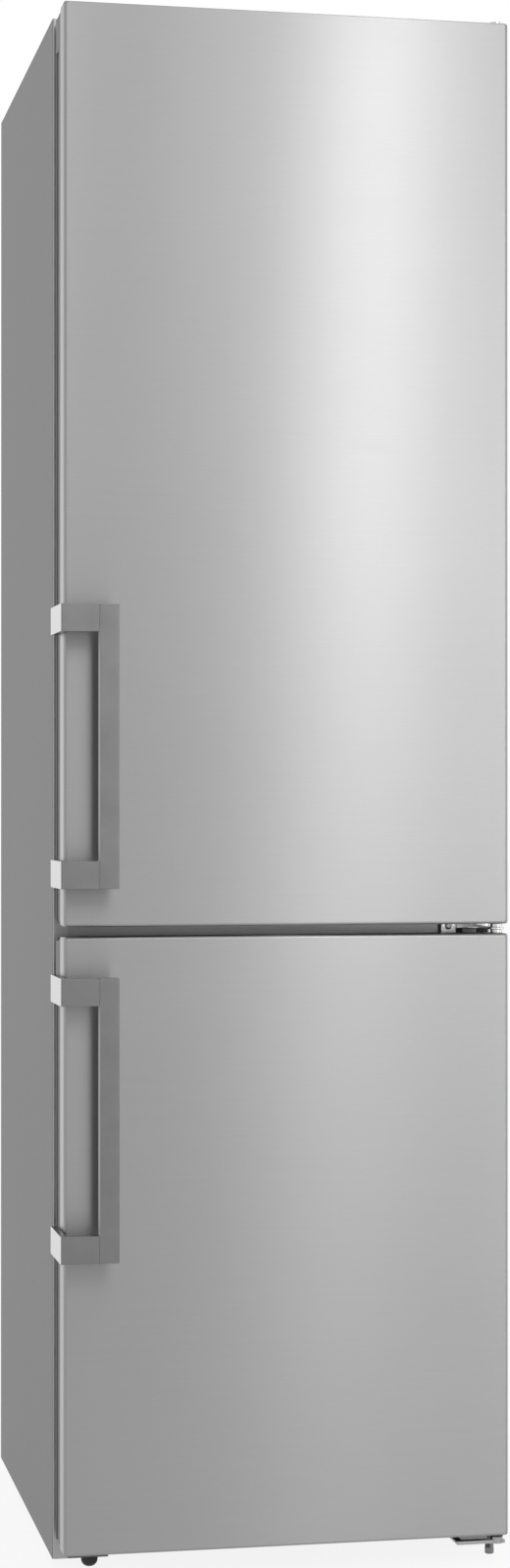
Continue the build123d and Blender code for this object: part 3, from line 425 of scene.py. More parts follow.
class Piece:
    """A new piece in the making: grids of points, their faces, and the finish of each face."""

    def __init__(self, name, body, replaces, slot):
        self.name = name
        self.body = body
        self.replaces = replaces
        self.slot = slot
        self.finishes = []
        self.points = []
        self.faces = []
        self.choice = []
        self.count = 0

    def grid(self, points, finish, caps=True, ring=False):
        """Join neighbouring points of a grid whose rows are closed loops. Caps close its first and last row,
        and ring joins its last row to its first."""
        if finish not in self.finishes:
            self.finishes.append(finish)
        rows, columns = points.shape[:2]
        index = np.arange(rows * columns).reshape(rows, columns) + self.count
        if ring:
            index = np.concatenate([index, index[:1]])
        here, ahead = index[:-1], index[1:]
        quads = np.stack([here, np.roll(here, -1, axis=1), np.roll(ahead, -1, axis=1), ahead], axis=-1)
        faces = quads.reshape(-1, 4).tolist()
        if caps and not ring:
            faces += [index[0].tolist(), index[-1].tolist()]
        self.points.append(points.reshape(-1, 3))
        self.faces += faces
        self.choice += [self.finishes.index(finish)] * len(faces)
        self.count += rows * columns

    def front(self, rows, finish, caps=True, ring=False):
        """A grid lofted from rows seen from the front: their boxes stand upright and their levels go back."""
        self.grid(laid(lofted(rows), "xzy"), finish, caps, ring)

    def pad(self, box, levels, rim, radii, finish, steps=4):
        """A rounded pad seen from the front. Levels are its back, the start of its rim and its face, and radii
        are its corners' at the back and at the face."""
        rows = turned([drawn(box, 0, radii[0], levels[0])], drawn(box, 0, radii[0], levels[1]),
                      drawn(box, rim, radii[1], levels[2]), steps, True)
        self.front(rows, finish)

    def made(self, crease=CREASE_DEGREES):
        """Put the grids in one mesh with its faces outwards, and hang it on its body."""
        mesh = bpy.data.meshes.new(self.name)
        mesh.from_pydata(np.concatenate(self.points).tolist(), [], self.faces)
        mesh.polygons.foreach_set("material_index", self.choice)
        work = bmesh.new()
        work.from_mesh(mesh)
        bmesh.ops.remove_doubles(work, verts=work.verts, dist=WELD_REACH)
        bmesh.ops.recalc_face_normals(work, faces=work.faces)
        work.to_mesh(mesh)
        work.free()
        for finish in self.finishes:
            mesh.materials.append(finish)
        return hung(self.name, mesh, self.body, self.replaces, crease)


def side_finish(thing, finish, direction):
    """Give the faces that look along a direction a finish of their own."""
    mesh = thing.data
    normal = np.empty(len(mesh.polygons) * 3)
    choice = np.empty(len(mesh.polygons), int)
    mesh.polygons.foreach_get("normal", normal)
    mesh.polygons.foreach_get("material_index", choice)
    facing = normal.reshape(-1, 3) @ np.array(direction, float) > FACING_SHARE
    mesh.polygons.foreach_set("material_index", np.where(facing, len(mesh.materials), choice))
    mesh.materials.append(finish)


# Sizes that several pieces share

SHEET = 0.001
SKIN_CORNER = 0.003
GAP_RIM = 0.004
FRAME_WALL = 0.022
RUNNING_GAP = 0.0003
PAD_ROOT = 0.0005
LEDGE_WIDTH = 0.009
GLASS = 0.004
AXLE_HOLE = 0.00305

# Roundings, from the finest edge to a soft corner

HAIR_ROUND = 0.0004
CRISP_ROUND = 0.0005
FINE_ROUND = 0.0006
SOFT_ROUND = 0.0008
SMALL_ROUND = 0.0012
BEND_ROUND = 0.002
FOLD_ROUND = 0.0022
FULL_ROUND = 0.003

# Cabinet sheets


def side_sheet(side, name):
    """A side sheet: an L in plan, its front edge folded inwards with a small bend, carried up the cabinet."""
    low, high = corners(name)
    outer, fold = (low[0], high[0]) if side < 0 else (high[0], low[0])
    inner = outer - side * SHEET
    path = outline((outer, high[1], 0), (outer, low[1], FOLD_ROUND), (fold, low[1], 0),
                   (fold, low[1] + SHEET, 0), (inner, low[1] + SHEET, SMALL_ROUND), (inner, high[1], 0))
    piece = Piece(f"{name}_sheet", "cabinet", name, "cabinet_grey")
    piece.grid(extruded(path, low[2], high[2], TINY), cabinet_grey)
    # The front-facing faces of the fold take a lighter metal than the painted sides: painted light that lifts
    # the fold's shade in the door gap.
    side_finish(piece.made(), bracket_metal, (0, -1, 0))


side_sheet(-1, "left_side_panel")
side_sheet(1, "right_side_panel")

# Doors

SKIN_EDGE = 0.004
TOP_RIM = 0.0015
FOOT_RIM = 0.0035


def door_skin(prefix, low_rim, high_rim):
    """A pressed steel pan: its front edges are quarter ellipses, whose depth is one value all round."""
    box, front, back = front_box(f"{prefix}_door_skin")
    piece = Piece(f"{prefix}_door_sheet", f"{prefix}_door", f"{prefix}_door_skin", "steel_front")
    rows = []
    for wall, start in ((0.0, front), (SHEET, front + SHEET)):
        edge = SKIN_EDGE - wall
        flat = (box[0] + SKIN_EDGE, box[1] - SKIN_EDGE, box[2] + max(low_rim, wall + TINY),
                box[3] - max(high_rim, wall + TINY), SKIN_CORNER, start)
        full = drawn(box, wall, SKIN_CORNER, start + edge)
        tail = drawn(box, wall, SKIN_CORNER, back)
        bend = turned([], flat, full) + [tail]
        rows = rows + bend if wall == 0.0 else rows + bend[::-1]
    piece.front(rows, steel_front)
    piece.made()


def door_core(prefix):
    """The foam core: its front edges follow the skin from inside, and its back stands inside the frame."""
    box, front, back = front_box(f"{prefix}_door_foam")
    step = corners(f"{prefix}_door_frame")[0][1]
    piece = Piece(f"{prefix}_door_core", f"{prefix}_door", f"{prefix}_door_foam", "foam")
    rows = bent([], box, (GAP_RIM, SKIN_CORNER, front + TINY), (TINY, SKIN_CORNER, step))
    rows += [drawn(box, FRAME_WALL, SKIN_CORNER, step), drawn(box, FRAME_WALL, SKIN_CORNER, back)]
    piece.front(rows, foam_cream)
    piece.made()


FRAME_DROP = 0.004
GROOVE_INSET = 0.0045
GROOVE_WIDTH = 0.022
GROOVE_DEPTH = 0.0026
GROOVE_CAP = 0.044


def door_frame(prefix):
    """The moulded frame behind the skin: a square ring with a groove round its side, capped at the top.
    The groove takes a lighter grey than the ring: painted light that lifts the shade in the groove.
    """
    box, _, back = front_box(f"{prefix}_door_frame")
    front = corners(f"{prefix}_door_skin")[1][1]
    box = (box[0], box[1], box[2] + FRAME_DROP, box[3] - FRAME_DROP)
    end = back - GROOVE_INSET
    start = end - GROOVE_WIDTH
    edge = FINE_ROUND
    piece = Piece(f"{prefix}_door_moulding", f"{prefix}_door", f"{prefix}_door_frame", "frame_dark")
    fore = ((FRAME_WALL, back), (FRAME_WALL, front), (0, front), (0, start - edge), (edge, start))
    groove = ((edge, start), (GROOVE_DEPTH, start), (GROOVE_DEPTH, end), (edge, end))
    aft = ((edge, end), (0, end + edge), (0, back - edge), (edge, back), (FRAME_WALL, back))
    # The groove's finish is a lighter grey than the ring's: painted light in the shaded groove.
    for table, finish in ((fore, frame_dark), (groove, groove_painted_light), (aft, frame_dark)):
        piece.front([drawn(box, inset, SKIN_CORNER, level) for inset, level in table], finish, caps=False)
    for side in (box[0], box[1] - GROOVE_DEPTH):
        cap = (side, side + GROOVE_DEPTH, start, end)
        top = box[3] - SKIN_CORNER
        rows = bent([], cap, (edge, TINY, top - GROOVE_CAP), (0, TINY, top - GROOVE_CAP + edge), 3)
        piece.grid(lofted(rows + [drawn(cap, 0, TINY, top)]), frame_dark)
    piece.made()


SEAL_WIDTH = 0.016
SEAL_CORNER = 0.009
SEAL_FOOT = 0.0012
SEAL_LIP = 0.0022
FOLD_START = 0.0015
FOLD_COUNT = 2
FOLD_POINTS = 17
FOLD_WIDTH_SHARE = 0.72
FOLD_SWING_SHARE = 0.16
HEAD_PLACE_SHARE = 0.66
HEAD_WIDTH_SHARE = 0.95
HEAD_ROUND_SHARE = 0.3


def door_gasket(prefix):
    """The magnetic seal: a foot, two folds whose half width is a cosine of the depth, and a round head."""
    box, front, back = front_box(f"{prefix}_door_gasket")
    half = SEAL_WIDTH / 2
    head = front + HEAD_PLACE_SHARE * (back - front)
    fold = np.linspace(0.0, 1.0, FOLD_POINTS)
    fold_half = half * (FOLD_WIDTH_SHARE + FOLD_SWING_SHARE * np.cos(fold * 2 * FOLD_COUNT * math.pi))
    fold_level = front + FOLD_START + fold * (head - front - FOLD_START)
    bend = quarter(6)
    head_half = half * (HEAD_WIDTH_SHARE - HEAD_ROUND_SHARE * (1 - np.cos(bend)))
    head_level = back - SEAL_LIP * (1 - np.sin(bend))
    side_half = np.concatenate([[half, half], fold_half, [half * HEAD_WIDTH_SHARE], head_half])
    side_level = np.concatenate([[front, front + SEAL_FOOT], fold_level, [head + FINE_ROUND], head_level])
    reach = np.concatenate([half - side_half, half + side_half[::-1]])
    level = np.concatenate([side_level, side_level[::-1]])
    corner = np.maximum(SEAL_CORNER - reach, SHEET)
    rows = [drawn(box, *row) for row in zip(reach, corner, level)]
    piece = Piece(f"{prefix}_door_seal", f"{prefix}_door", f"{prefix}_door_gasket", "gasket")
    piece.front(rows, gasket_grey, ring=True)
    piece.made(crease=60.0)


DYKE_WALL = 0.012
DYKE_MARGIN = 0.034
DYKE_ROUND = 0.005
DYKE_CORNERS = (0.012, 0.008)
DYKE_FEET = {"upper": 0.005, "lower": 0.004}
RIB_COUNTS = {"upper": 4, "lower": 3}
RIB_HALF_SHARE = 0.4
RIB_MARGIN = 0.03
RIB_HEIGHT = 0.0018
RIB_CORNERS = (0.012, 0.01)


def door_liner(prefix):
    """The vacuum-formed inner door: a flat rim, a rounded wall round it and a shallow ribbed floor."""
    box, back, front = front_box(f"{prefix}_door_liner")
    rack_low, rack_high = corners("door_rack_1")
    seat = rack_low[1]
    dyke_half = rack_high[0] + RUNNING_GAP + DYKE_WALL
    dyke = (-dyke_half, dyke_half, box[2] + DYKE_MARGIN, box[3] - DYKE_MARGIN)
    foot = DYKE_FEET[prefix]
    outer, inner = DYKE_CORNERS
    piece = Piece(f"{prefix}_door_inner", f"{prefix}_door", f"{prefix}_door_liner", "liner_white")
    rows = [drawn(box, 0, outer, back)]
    rows = bent(rows, box, (0, outer, seat - SHEET), (SHEET, outer, seat), 3, True)
    rows = bent(rows, dyke, (-foot, outer + foot, seat), (0, outer, seat + foot))
    rows = bent(rows, dyke, (0, outer, front - DYKE_ROUND), (DYKE_ROUND, inner, front), level_first=True)
    rows = bent(rows, dyke, (DYKE_WALL - DYKE_ROUND, inner, front), (DYKE_WALL, inner, front - DYKE_ROUND))
    rows = bent(rows, dyke, (DYKE_WALL, inner, seat + FULL_ROUND),
                (DYKE_WALL + FULL_ROUND, inner, seat + TINY), level_first=True)
    piece.front(rows, liner_white)
    spread = (dyke[1] - dyke[0] - 2 * DYKE_WALL) / RIB_COUNTS[prefix]
    for i in range(RIB_COUNTS[prefix]):
        middle = dyke[0] + DYKE_WALL + spread * (i + 0.5)
        rib = (middle - spread * RIB_HALF_SHARE, middle + spread * RIB_HALF_SHARE,
               dyke[2] + RIB_MARGIN, dyke[3] - RIB_MARGIN)
        levels = (seat - PAD_ROOT, seat + TINY, seat + RIB_HEIGHT)
        piece.pad(rib, levels, BEND_ROUND, RIB_CORNERS, liner_white)
    piece.made()


# Handles

ARM_THICKNESS = 0.012
ARM_HEIGHT = 0.035
CAP_SHEET = 0.0025
CAP_FLANGE = 0.002
FLANGE_REACH = 0.0082
BAR_LEFT_ROUND = 0.0007
BAR_RIGHT_ROUND = 0.0014


def handle(prefix):
    """A bar on two arms that wrap round the door's edge. Each arm is an L in plan with two thin flanges."""
    low, high = corners(f"{prefix}_handle_arms")
    bar_low, bar_high = corners(f"{prefix}_handle_bar")
    back, inner = low[1] + ARM_THICKNESS, low[0] + CAP_SHEET
    west, east, tail = low[0] + TINY, low[0] + FLANGE_REACH, high[1] - TINY
    wrap = outline((low[0], low[1], FOLD_ROUND), (high[0], low[1], FINE_ROUND), (high[0], back, FINE_ROUND),
                   (inner, back, BEND_ROUND), (inner, high[1], SOFT_ROUND), (low[0], high[1], SOFT_ROUND))
    lip = outline((west, back - SHEET, FINE_ROUND), (east, back - SHEET, SMALL_ROUND),
                  (east, tail, BEND_ROUND), (west, tail, SOFT_ROUND))
    arms = Piece(f"{prefix}_handle_wraps", f"{prefix}_handle", f"{prefix}_handle_arms", "handle_metal")
    for bottom in (low[2], high[2] - ARM_HEIGHT):
        top = bottom + ARM_HEIGHT
        arms.grid(extruded(wrap, bottom, top, CRISP_ROUND), handle_metal)
        for start in (bottom, top - CAP_FLANGE):
            arms.grid(extruded(lip, start + TINY, start + CAP_FLANGE - TINY, HAIR_ROUND), handle_metal)
    # The arms' left faces take a much lighter metal than their fronts: a painted sheen for the bright room that
    # side reflects.
    side_finish(arms.made(), painted_sheen_metal, (-1, 0, 0))
    west, east = bar_low[0] + TINY, bar_high[0]
    section = outline((west, bar_low[1], BAR_LEFT_ROUND), (east, bar_low[1], BAR_RIGHT_ROUND),
                      (east, bar_high[1], BAR_RIGHT_ROUND), (west, bar_high[1], BAR_LEFT_ROUND))
    bar = Piece(f"{prefix}_handle_grip", f"{prefix}_handle", f"{prefix}_handle_bar", "handle_metal")
    bar.grid(extruded(section, bar_low[2], bar_high[2], FINE_ROUND), handle_metal)
    grip = bar.made()
    # The bar's left faces take a pale grey and its back the pale trim: painted light on its shaded side and
    # back, which also lightens their reflection in the door.
    side_finish(grip, bar_side_painted_light, (-1, 0, 0))
    side_finish(grip, shelf_trim, (0, 1, 0))


door_skin("upper", GAP_RIM, TOP_RIM)
door_skin("lower", FOOT_RIM, GAP_RIM)
for prefix in ("upper", "lower"):
    door_core(prefix)
    door_frame(prefix)
    door_gasket(prefix)
    door_liner(prefix)
    handle(prefix)

# Fridge liner

LINER_WALL = 0.002
LINER_CORNER = 0.018
LINER_MOUTH = 0.006
LINER_BACK_ROUND = 0.009
LINER_RIM_CORNER = 0.004
LEDGE_HEIGHT = 0.006
PANEL_COUNT = 5
PANEL_PITCH = 0.07
PANEL_HALF = 0.027
PANEL_OVER_SHELF = 0.035
PANEL_UNDER_SHELF = 0.03
PANEL_HEIGHT = 0.003
PANEL_RIM = 0.004
PANEL_CORNERS = (0.02, 0.017)
FRIDGE_PLATES = ("crisper_cover", "fridge_shelf_1", "fridge_shelf_2", "fridge_shelf_3")


def half_rail(piece, side, wall, level, front, back):
    """A moulded rail along a side wall: a small block whose free edges are rounded, front to back."""
    edge = wall - side * LEDGE_WIDTH
    root = wall + side * LINER_WALL / 2
    path = outline((root, level - LEDGE_HEIGHT, TINY), (edge, level - LEDGE_HEIGHT, BEND_ROUND),
                   (edge, level, SHEET), (root, level, TINY))
    piece.grid(laid(extruded(path, front, back, SHEET), "xzy"), liner_white)


def fridge_tub():
    """The fridge's liner: a rim, a rounded mouth, straight walls and a rounded back, closed by an outer wall.
    On it stand the shelves' rails and, between the shelves, a row of upright panels on the back."""
    box, front, back = front_box("fridge_liner")
    wall = corners("fridge_shelf_1")[1][0] + RUNNING_GAP
    low, high = corners("middle_rail")[1][2], corners("control_panel")[1][2]
    shell = (-wall - LINER_WALL, wall + LINER_WALL, low - LINER_WALL, high + LINER_WALL)
    rim = (box[0], box[1], low, box[3])
    mouth = (-wall, wall, low, high)
    wide = (-wall - LINER_MOUTH, wall + LINER_MOUTH, low, high + LINER_MOUTH)
    deep = back - LINER_WALL
    piece = Piece("fridge_tub", "cabinet", "fridge_liner", "liner_white")
    rows = [(*shell, LINER_CORNER, back), (*shell, LINER_CORNER, front + LINER_WALL),
            (*rim, LINER_RIM_CORNER, front + LINER_WALL), (*rim, LINER_RIM_CORNER, front)]
    rows = turned(rows, (*wide, LINER_CORNER, front), (*mouth, LINER_CORNER, front + LINER_MOUTH))
    rows = turned(rows, (*mouth, LINER_CORNER, deep - LINER_BACK_ROUND),
                  drawn(mouth, LINER_BACK_ROUND, LINER_CORNER, deep), level_first=True)
    piece.front(rows, liner_white)
    levels = [corners(name)[0][2] + GLASS for name in FRIDGE_PLATES]
    rail_front = corners("fridge_shelf_1")[0][1] + GLASS
    for level in levels:
        for side in (-1, 1):
            half_rail(piece, side, side * wall, level, rail_front, deep - TINY)
    for low_level, high_level in zip(levels, levels[1:] + [high]):
        for i in range(PANEL_COUNT):
            middle = (i - (PANEL_COUNT - 1) / 2) * PANEL_PITCH
            panel = (middle - PANEL_HALF, middle + PANEL_HALF,
                     low_level + PANEL_OVER_SHELF, high_level - PANEL_UNDER_SHELF)
            depths = (deep + PAD_ROOT, deep, deep - PANEL_HEIGHT)
            piece.pad(panel, depths, PANEL_RIM, PANEL_CORNERS, liner_white)
    piece.made()


fridge_tub()

# Shelves, racks and drawers

TRIM_DEPTH = 0.01
TRIM_LAP = 0.004
TRIM_FOOT = 0.008
TRIM_SLOT = 0.003
TRIM_RISE = 0.0012
TAIL_DEPTH = 0.012
TAIL_RISE = 0.006
TAIL_LIP = 0.004
TAIL_STEP = 0.0014
TAIL_ROUND = 0.0015
PLATE_CORNER = 0.012


def glass_shelf(name):
    """A glass plate with softened edges, a hollow front trim round its edge and a low trim at its back."""
    box, low, high = plan_box(name)
    level, front, back = low + GLASS, box[2] + TRIM_DEPTH, box[3]
    plate = (box[0], box[1], front - TRIM_LAP, back)
    piece = Piece(f"{name}_plate", "cabinet", name, "shelf_glass")
    rows = bent([], plate, (FINE_ROUND, PLATE_CORNER, level), (0, PLATE_CORNER, level + FINE_ROUND), 3)
    rows = bent(rows, plate, (0, PLATE_CORNER, high - FINE_ROUND), (FINE_ROUND, PLATE_CORNER, high), 3, True)
    piece.grid(lofted(rows), shelf_glass)
    half = box[1] - LEDGE_WIDTH
    slot, foot, lap = front - TRIM_SLOT, front + TRIM_FOOT, front + TRIM_LAP
    under, over, crest = level - TINY, high + TINY, high + TRIM_RISE
    nose = outline((box[2], low, FULL_ROUND), (foot, low, CRISP_ROUND), (foot, under, CRISP_ROUND),
                   (slot, under, CRISP_ROUND), (slot, over, CRISP_ROUND), (lap, over, HAIR_ROUND),
                   (lap, crest, SOFT_ROUND), (box[2], crest, FULL_ROUND))
    piece.grid(laid(extruded(nose, -half, half, SOFT_ROUND), "yzx"), shelf_trim)
    start, top = back - TAIL_DEPTH, high + TAIL_RISE
    tail = outline((start, over, HAIR_ROUND), (back, over, HAIR_ROUND), (back, top, TAIL_ROUND),
                   (back - TAIL_LIP, top, BEND_ROUND), (start, high + TAIL_STEP, SOFT_ROUND))
    half = box[1] - PLATE_CORNER
    piece.grid(laid(extruded(tail, -half, half, FINE_ROUND), "yzx"), shelf_trim)
    piece.made()


for name in (*FRIDGE_PLATES, "freezer_shelf_1", "freezer_shelf_2"):
    glass_shelf(name)

LEAN_SHARE = 1.6
BEAD_TOP = 0.0065
BEAD_FOOT = 0.008
BEAD_START = 0.009


def open_tub(piece, box, low, high, finish, radius, foot, wall, bead):
    """A tub with a rounded foot, a wall that leans out, a bead round its rim and a rounded floor inside."""
    lean, inner, brim = bead * LEAN_SHARE, wall + bead * LEAN_SHARE, high - SOFT_ROUND
    rows = bent([], box, (foot + bead, radius, low), (lean, radius, low + foot))
    rows += [drawn(box, bead, radius, high - BEAD_START)]
    rows = bent(rows, box, (bead, radius, high - BEAD_FOOT), (0, radius, high - BEAD_TOP), 3)
    rows = bent(rows, box, (0, radius, brim), (SOFT_ROUND, radius, high), 3, True)
    rows = bent(rows, box, (wall + bead - SOFT_ROUND, radius, high), (wall + bead, radius, brim), 3)
    rows = bent(rows, box, (inner, radius, low + wall + foot),
                (inner + foot, radius, low + wall), level_first=True)
    piece.grid(lofted(rows), finish)


STRIP_MARGIN = 0.02
STRIP_FOOT = 0.03
STRIP_TOP = 0.012


def door_rack(name):
    """A clear bottle rack hung in the door, with a satin strip let into the top of its front."""
    box, low, high = plan_box(name)
    face = box[3]
    piece = Piece(f"{name}_bin", "upper_door", name, "clear_plastic")
    open_tub(piece, box, low, high, clear_plastic, radius=0.011, foot=0.006, wall=0.0024, bead=0.0012)
    strip = (box[0] + STRIP_MARGIN, box[1] - STRIP_MARGIN, high - STRIP_FOOT, high - STRIP_TOP)
    piece.pad(strip, (face - BEND_ROUND, face - SOFT_ROUND, face - TINY / 2), SOFT_ROUND,
              (FULL_ROUND, FULL_ROUND), bright_steel, 3)
    piece.made()


for name in ("door_rack_1", "door_rack_2", "door_rack_3"):
    door_rack(name)

FRONT_DEPTH = 0.009
FRONT_CORNER = 0.006
TUB_START_SHARE = 0.6
POCKET_HALF = 0.085
POCKET_SHARES = (0.6, 0.8)
POCKET_CORNER = 0.01
POCKET_DEPTH = 0.0075
LIP_HEIGHT = 0.005
LIP_BACK = 0.006
LIP_CORNERS = (0.002, 0.0015)


def drawer(name, body):
    """A clear drawer behind a frosted front panel, whose grip is a pocket sunk into the panel's face."""
    box, low, high = plan_box(name)
    face, height = box[2], high - low
    tub = (box[0], box[1], face + FRONT_DEPTH * TUB_START_SHARE, box[3])
    piece = Piece(f"{name}_box", body, name, "clear_plastic")
    open_tub(piece, tub, low, high, clear_plastic, radius=0.014, foot=0.012, wall=0.003, bead=0.0015)
    front = (box[0], box[1], low, high)
    pocket = (-POCKET_HALF, POCKET_HALF, low + height * POCKET_SHARES[0], low + height * POCKET_SHARES[1])
    rows = [drawn(front, SHEET, FRONT_CORNER, face + FRONT_DEPTH)]
    rows = bent(rows, front, (0, FRONT_CORNER, face + FULL_ROUND),
                (FULL_ROUND, FRONT_CORNER, face), level_first=True)
    rows = bent(rows, pocket, (-BEND_ROUND, POCKET_CORNER + BEND_ROUND, face),
                (0, POCKET_CORNER, face + BEND_ROUND), 4)
    rows = bent(rows, pocket, (SHEET, POCKET_CORNER, face + POCKET_DEPTH - BEND_ROUND),
                (FULL_ROUND, POCKET_CORNER, face + POCKET_DEPTH), 4, True)
    piece.front(rows, frosted_plastic)
    top = pocket[3] - SHEET
    lip = (pocket[0] + BEND_ROUND, pocket[1] - BEND_ROUND, top - LIP_HEIGHT, top)
    piece.pad(lip, (face + LIP_BACK, face + BEND_ROUND, face + SOFT_ROUND), SHEET, LIP_CORNERS, shelf_trim, 3)
    piece.made()


drawer("crisper_drawer", "crisper")
for i in (1, 2, 3):
    drawer(f"freezer_drawer_{i}", f"freezer_drawer_{i}")

# Hinges and other cut parts

COPY_WELD_REACH = 0.000002
FLAT_DEGREES = 1.0


def softened(name, width, finish, body="cabinet"):
    """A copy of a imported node's mesh with its points joined, its flat faces merged and its edges rounded."""
    mesh = nodes[name].data.copy()
    mesh.name = f"{name}_body"
    work = bmesh.new()
    work.from_mesh(mesh)
    bmesh.ops.remove_doubles(work, verts=work.verts, dist=COPY_WELD_REACH)
    bmesh.ops.dissolve_limit(work, angle_limit=math.radians(FLAT_DEGREES), verts=work.verts, edges=work.edges)
    work.to_mesh(mesh)
    work.free()
    mesh.materials.clear()
    mesh.materials.append(finish)
    hung(f"{name}_body", mesh, body, name, CREASE_DEGREES, width)


FINEST_ROUND = 0.0003
softened("upper_hinge", CRISP_ROUND, bright_steel)
softened("middle_hinge", HAIR_ROUND, bright_steel)
softened("lower_hinge", CRISP_ROUND, bracket_metal)
softened("mains_inlet", FINEST_ROUND, black_plastic)
softened("control_panel", SMALL_ROUND, control_grey)
softened("compressor_tray", FINEST_ROUND, zinc_steel)
softened("upper_handle_mounts", HAIR_ROUND, black_plastic, "upper_door")
softened("lower_handle_mounts", HAIR_ROUND, black_plastic, "lower_door")

SCREW_HEAD = 0.0045
SCREW_HEIGHT = 0.0025
SCREW_STEP = 0.024
SCREW_MARGIN = 0.01
DOME_FOOT = 0.001
DOME_RISE = 0.0014
DOME_TOP_SHARE = 0.62
SOCKET_RADII = (0.0021, 0.002, 0.0019)
SOCKET_SWELL = 0.16
SOCKET_POINTS = 6


def screw_head(piece, place, axes, sign):
    """A domed head with a star socket: the socket's radius swells six times round, as one plus a cosine."""
    steps = SOCKET_POINTS * 6
    dome = quarter(6)
    dome_radius = SCREW_HEAD * (DOME_TOP_SHARE + (1 - DOME_TOP_SHARE) * np.cos(dome))
    radius = np.concatenate([[SCREW_HEAD], dome_radius, SOCKET_RADII])
    level = np.concatenate([[0.0], DOME_FOOT + DOME_RISE * np.sin(dome),
                            [SCREW_HEIGHT - TINY / 2, DOME_FOOT, DOME_FOOT]])
    star = np.arange(len(radius)) >= len(radius) - len(SOCKET_RADII)
    wave = 1 + SOCKET_SWELL * star[:, None] * np.cos(SOCKET_POINTS * full_turn(steps))[None, :]
    piece.grid(revolved(np.stack([radius, sign * level], axis=-1), place, axes, steps, wave), screw_steel)


def hinge_screws():
    """Two screws in each front bracket and four in the top plate."""
    low, high = corners("hinge_screws")
    tab_low, tab_high = corners("middle_hinge")
    foot = corners("lower_hinge")[0][0]
    top = corners("upper_hinge")[1][2]
    piece = Piece("hinge_screw_heads", "cabinet", "hinge_screws", "bright_steel")
    face = low[1] + SCREW_HEIGHT
    middle = (tab_low[2] + tab_high[2]) / 2
    for k in (0, 1):
        along = SCREW_MARGIN + k * SCREW_STEP
        screw_head(piece, (tab_low[0] + along, face, middle), "xzy", -1)
        screw_head(piece, (foot + along, face, low[2] + SCREW_HEAD), "xzy", -1)
        for j in (0, 1):
            place = (high[0] - SCREW_HEAD - k * SCREW_STEP, high[1] - SCREW_HEAD - j * SCREW_STEP, top)
            screw_head(piece, place, "xyz", 1)
    piece.made()


COVER_START = 0.0206
COVER_END = 0.0005
COVER_DROP = 0.0035
COVER_STEP = 0.003
COVER_LAP = 0.002
SHADOW_STRIP_SPAN = (0.0027, 0.0006)
STOP_END = 0.0076
BUFFER_SPAN = (0.008, 0.0269)
TAIL_START = 0.0272
BLOCK_ROOT = 0.003
BLOCK_RIM = 0.0007
BLOCK_CORNERS = (0.0008, 0.0004)


def hinge_cover():
    """Over the middle bracket: a dark strip at its left that paints the bracket's shadow, a pale cover along
    its top, and under it a grey buffer between two black blocks. Each is a box, how far it stands out of the
    bracket and its finish."""
    low, high = corners("middle_hinge")
    gap_low, gap_high = corners("lower_door_skin")[1][2], corners("upper_door_skin")[0][2]
    root = corners("hinge_screws")[0][1] + BLOCK_ROOT
    west, east = (low[0] - end for end in SHADOW_STRIP_SPAN)
    left, right = low[0] + COVER_START, high[0] - COVER_END
    bottom, step, top = gap_low - COVER_DROP, gap_low + COVER_STEP, gap_high + COVER_LAP
    piece = Piece("middle_hinge_cover", "cabinet", None, "control_grey")
    # The edge strip is a dark sheet put where the bracket's shadow falls: a painted shadow.
    edge = ((west, east, bottom, top), 0.0012, frame_dark)
    cover = ((left, right, step + TINY, top), 0.004, bright_steel)
    stop = ((left, left + STOP_END, bottom, step), 0.0032, black_plastic)
    buffer = ((left + BUFFER_SPAN[0], left + BUFFER_SPAN[1], bottom, step), 0.0024, control_grey)
    tail = ((left + TAIL_START, right, bottom, step), 0.0016, black_plastic)
    for box, reach, finish in (edge, cover, stop, buffer, tail):
        piece.pad(box, (root, root - reach, root - BLOCK_RIM - reach), BLOCK_RIM, BLOCK_CORNERS, finish)
    piece.made()


STOP_DROP = 0.0058
STOP_START = 0.004
STOP_TAIL = 0.026
PIN_FROM_SIDE = 0.013
PIN_FROM_NOSE = 0.008
BUSH_RADIUS = 0.0085
BUSH_SPAN = (-0.0046, -0.0012)


def door_stop():
    """Over the bottom bracket: a strip under the lower door, rounded in plan, and a collar round the pin."""
    low, high = corners("lower_hinge")
    door = corners("lower_door_skin")
    west, east, nose, tail = low[0] + STOP_START, high[0] - STOP_TAIL, low[1] + SHEET, door[1][1]
    path = outline((west, nose, FULL_ROUND), (east, nose, FULL_ROUND),
                   (east, tail, FULL_ROUND), (west, tail, FULL_ROUND))
    piece = Piece("lower_door_stop", "lower_door", None, "frame_dark")
    piece.grid(extruded(path, door[0][2] - STOP_DROP, door[0][2], FINE_ROUND), bolt_metal)
    piece.made()
    bush = Piece("lower_hinge_bush", "cabinet", None, "black_plastic")
    pin = (high[0] - PIN_FROM_SIDE, low[1] + PIN_FROM_NOSE, door[0][2])
    bush.grid(revolved(barrel(BUSH_RADIUS, *BUSH_SPAN, HAIR_ROUND), pin), black_plastic, ring=True)
    bush.made()


hinge_screws()
hinge_cover()
door_stop()

# Feet and rollers

FOOT_ROUND = 0.0095
FOOT_TOP = 0.0137
FLUTE_COUNT = 24
FLUTE_SHARE = 0.035
STUD_RADIUS = 0.004
TOE_HEIGHT = 0.009
THREAD_DEPTH = 0.0007
THREAD_TAPER = 0.0006
TAPER_HEIGHT = 0.001


def centre_of(node):
    """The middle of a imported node's box."""
    low, high = corners(node)
    return (low + high) / 2


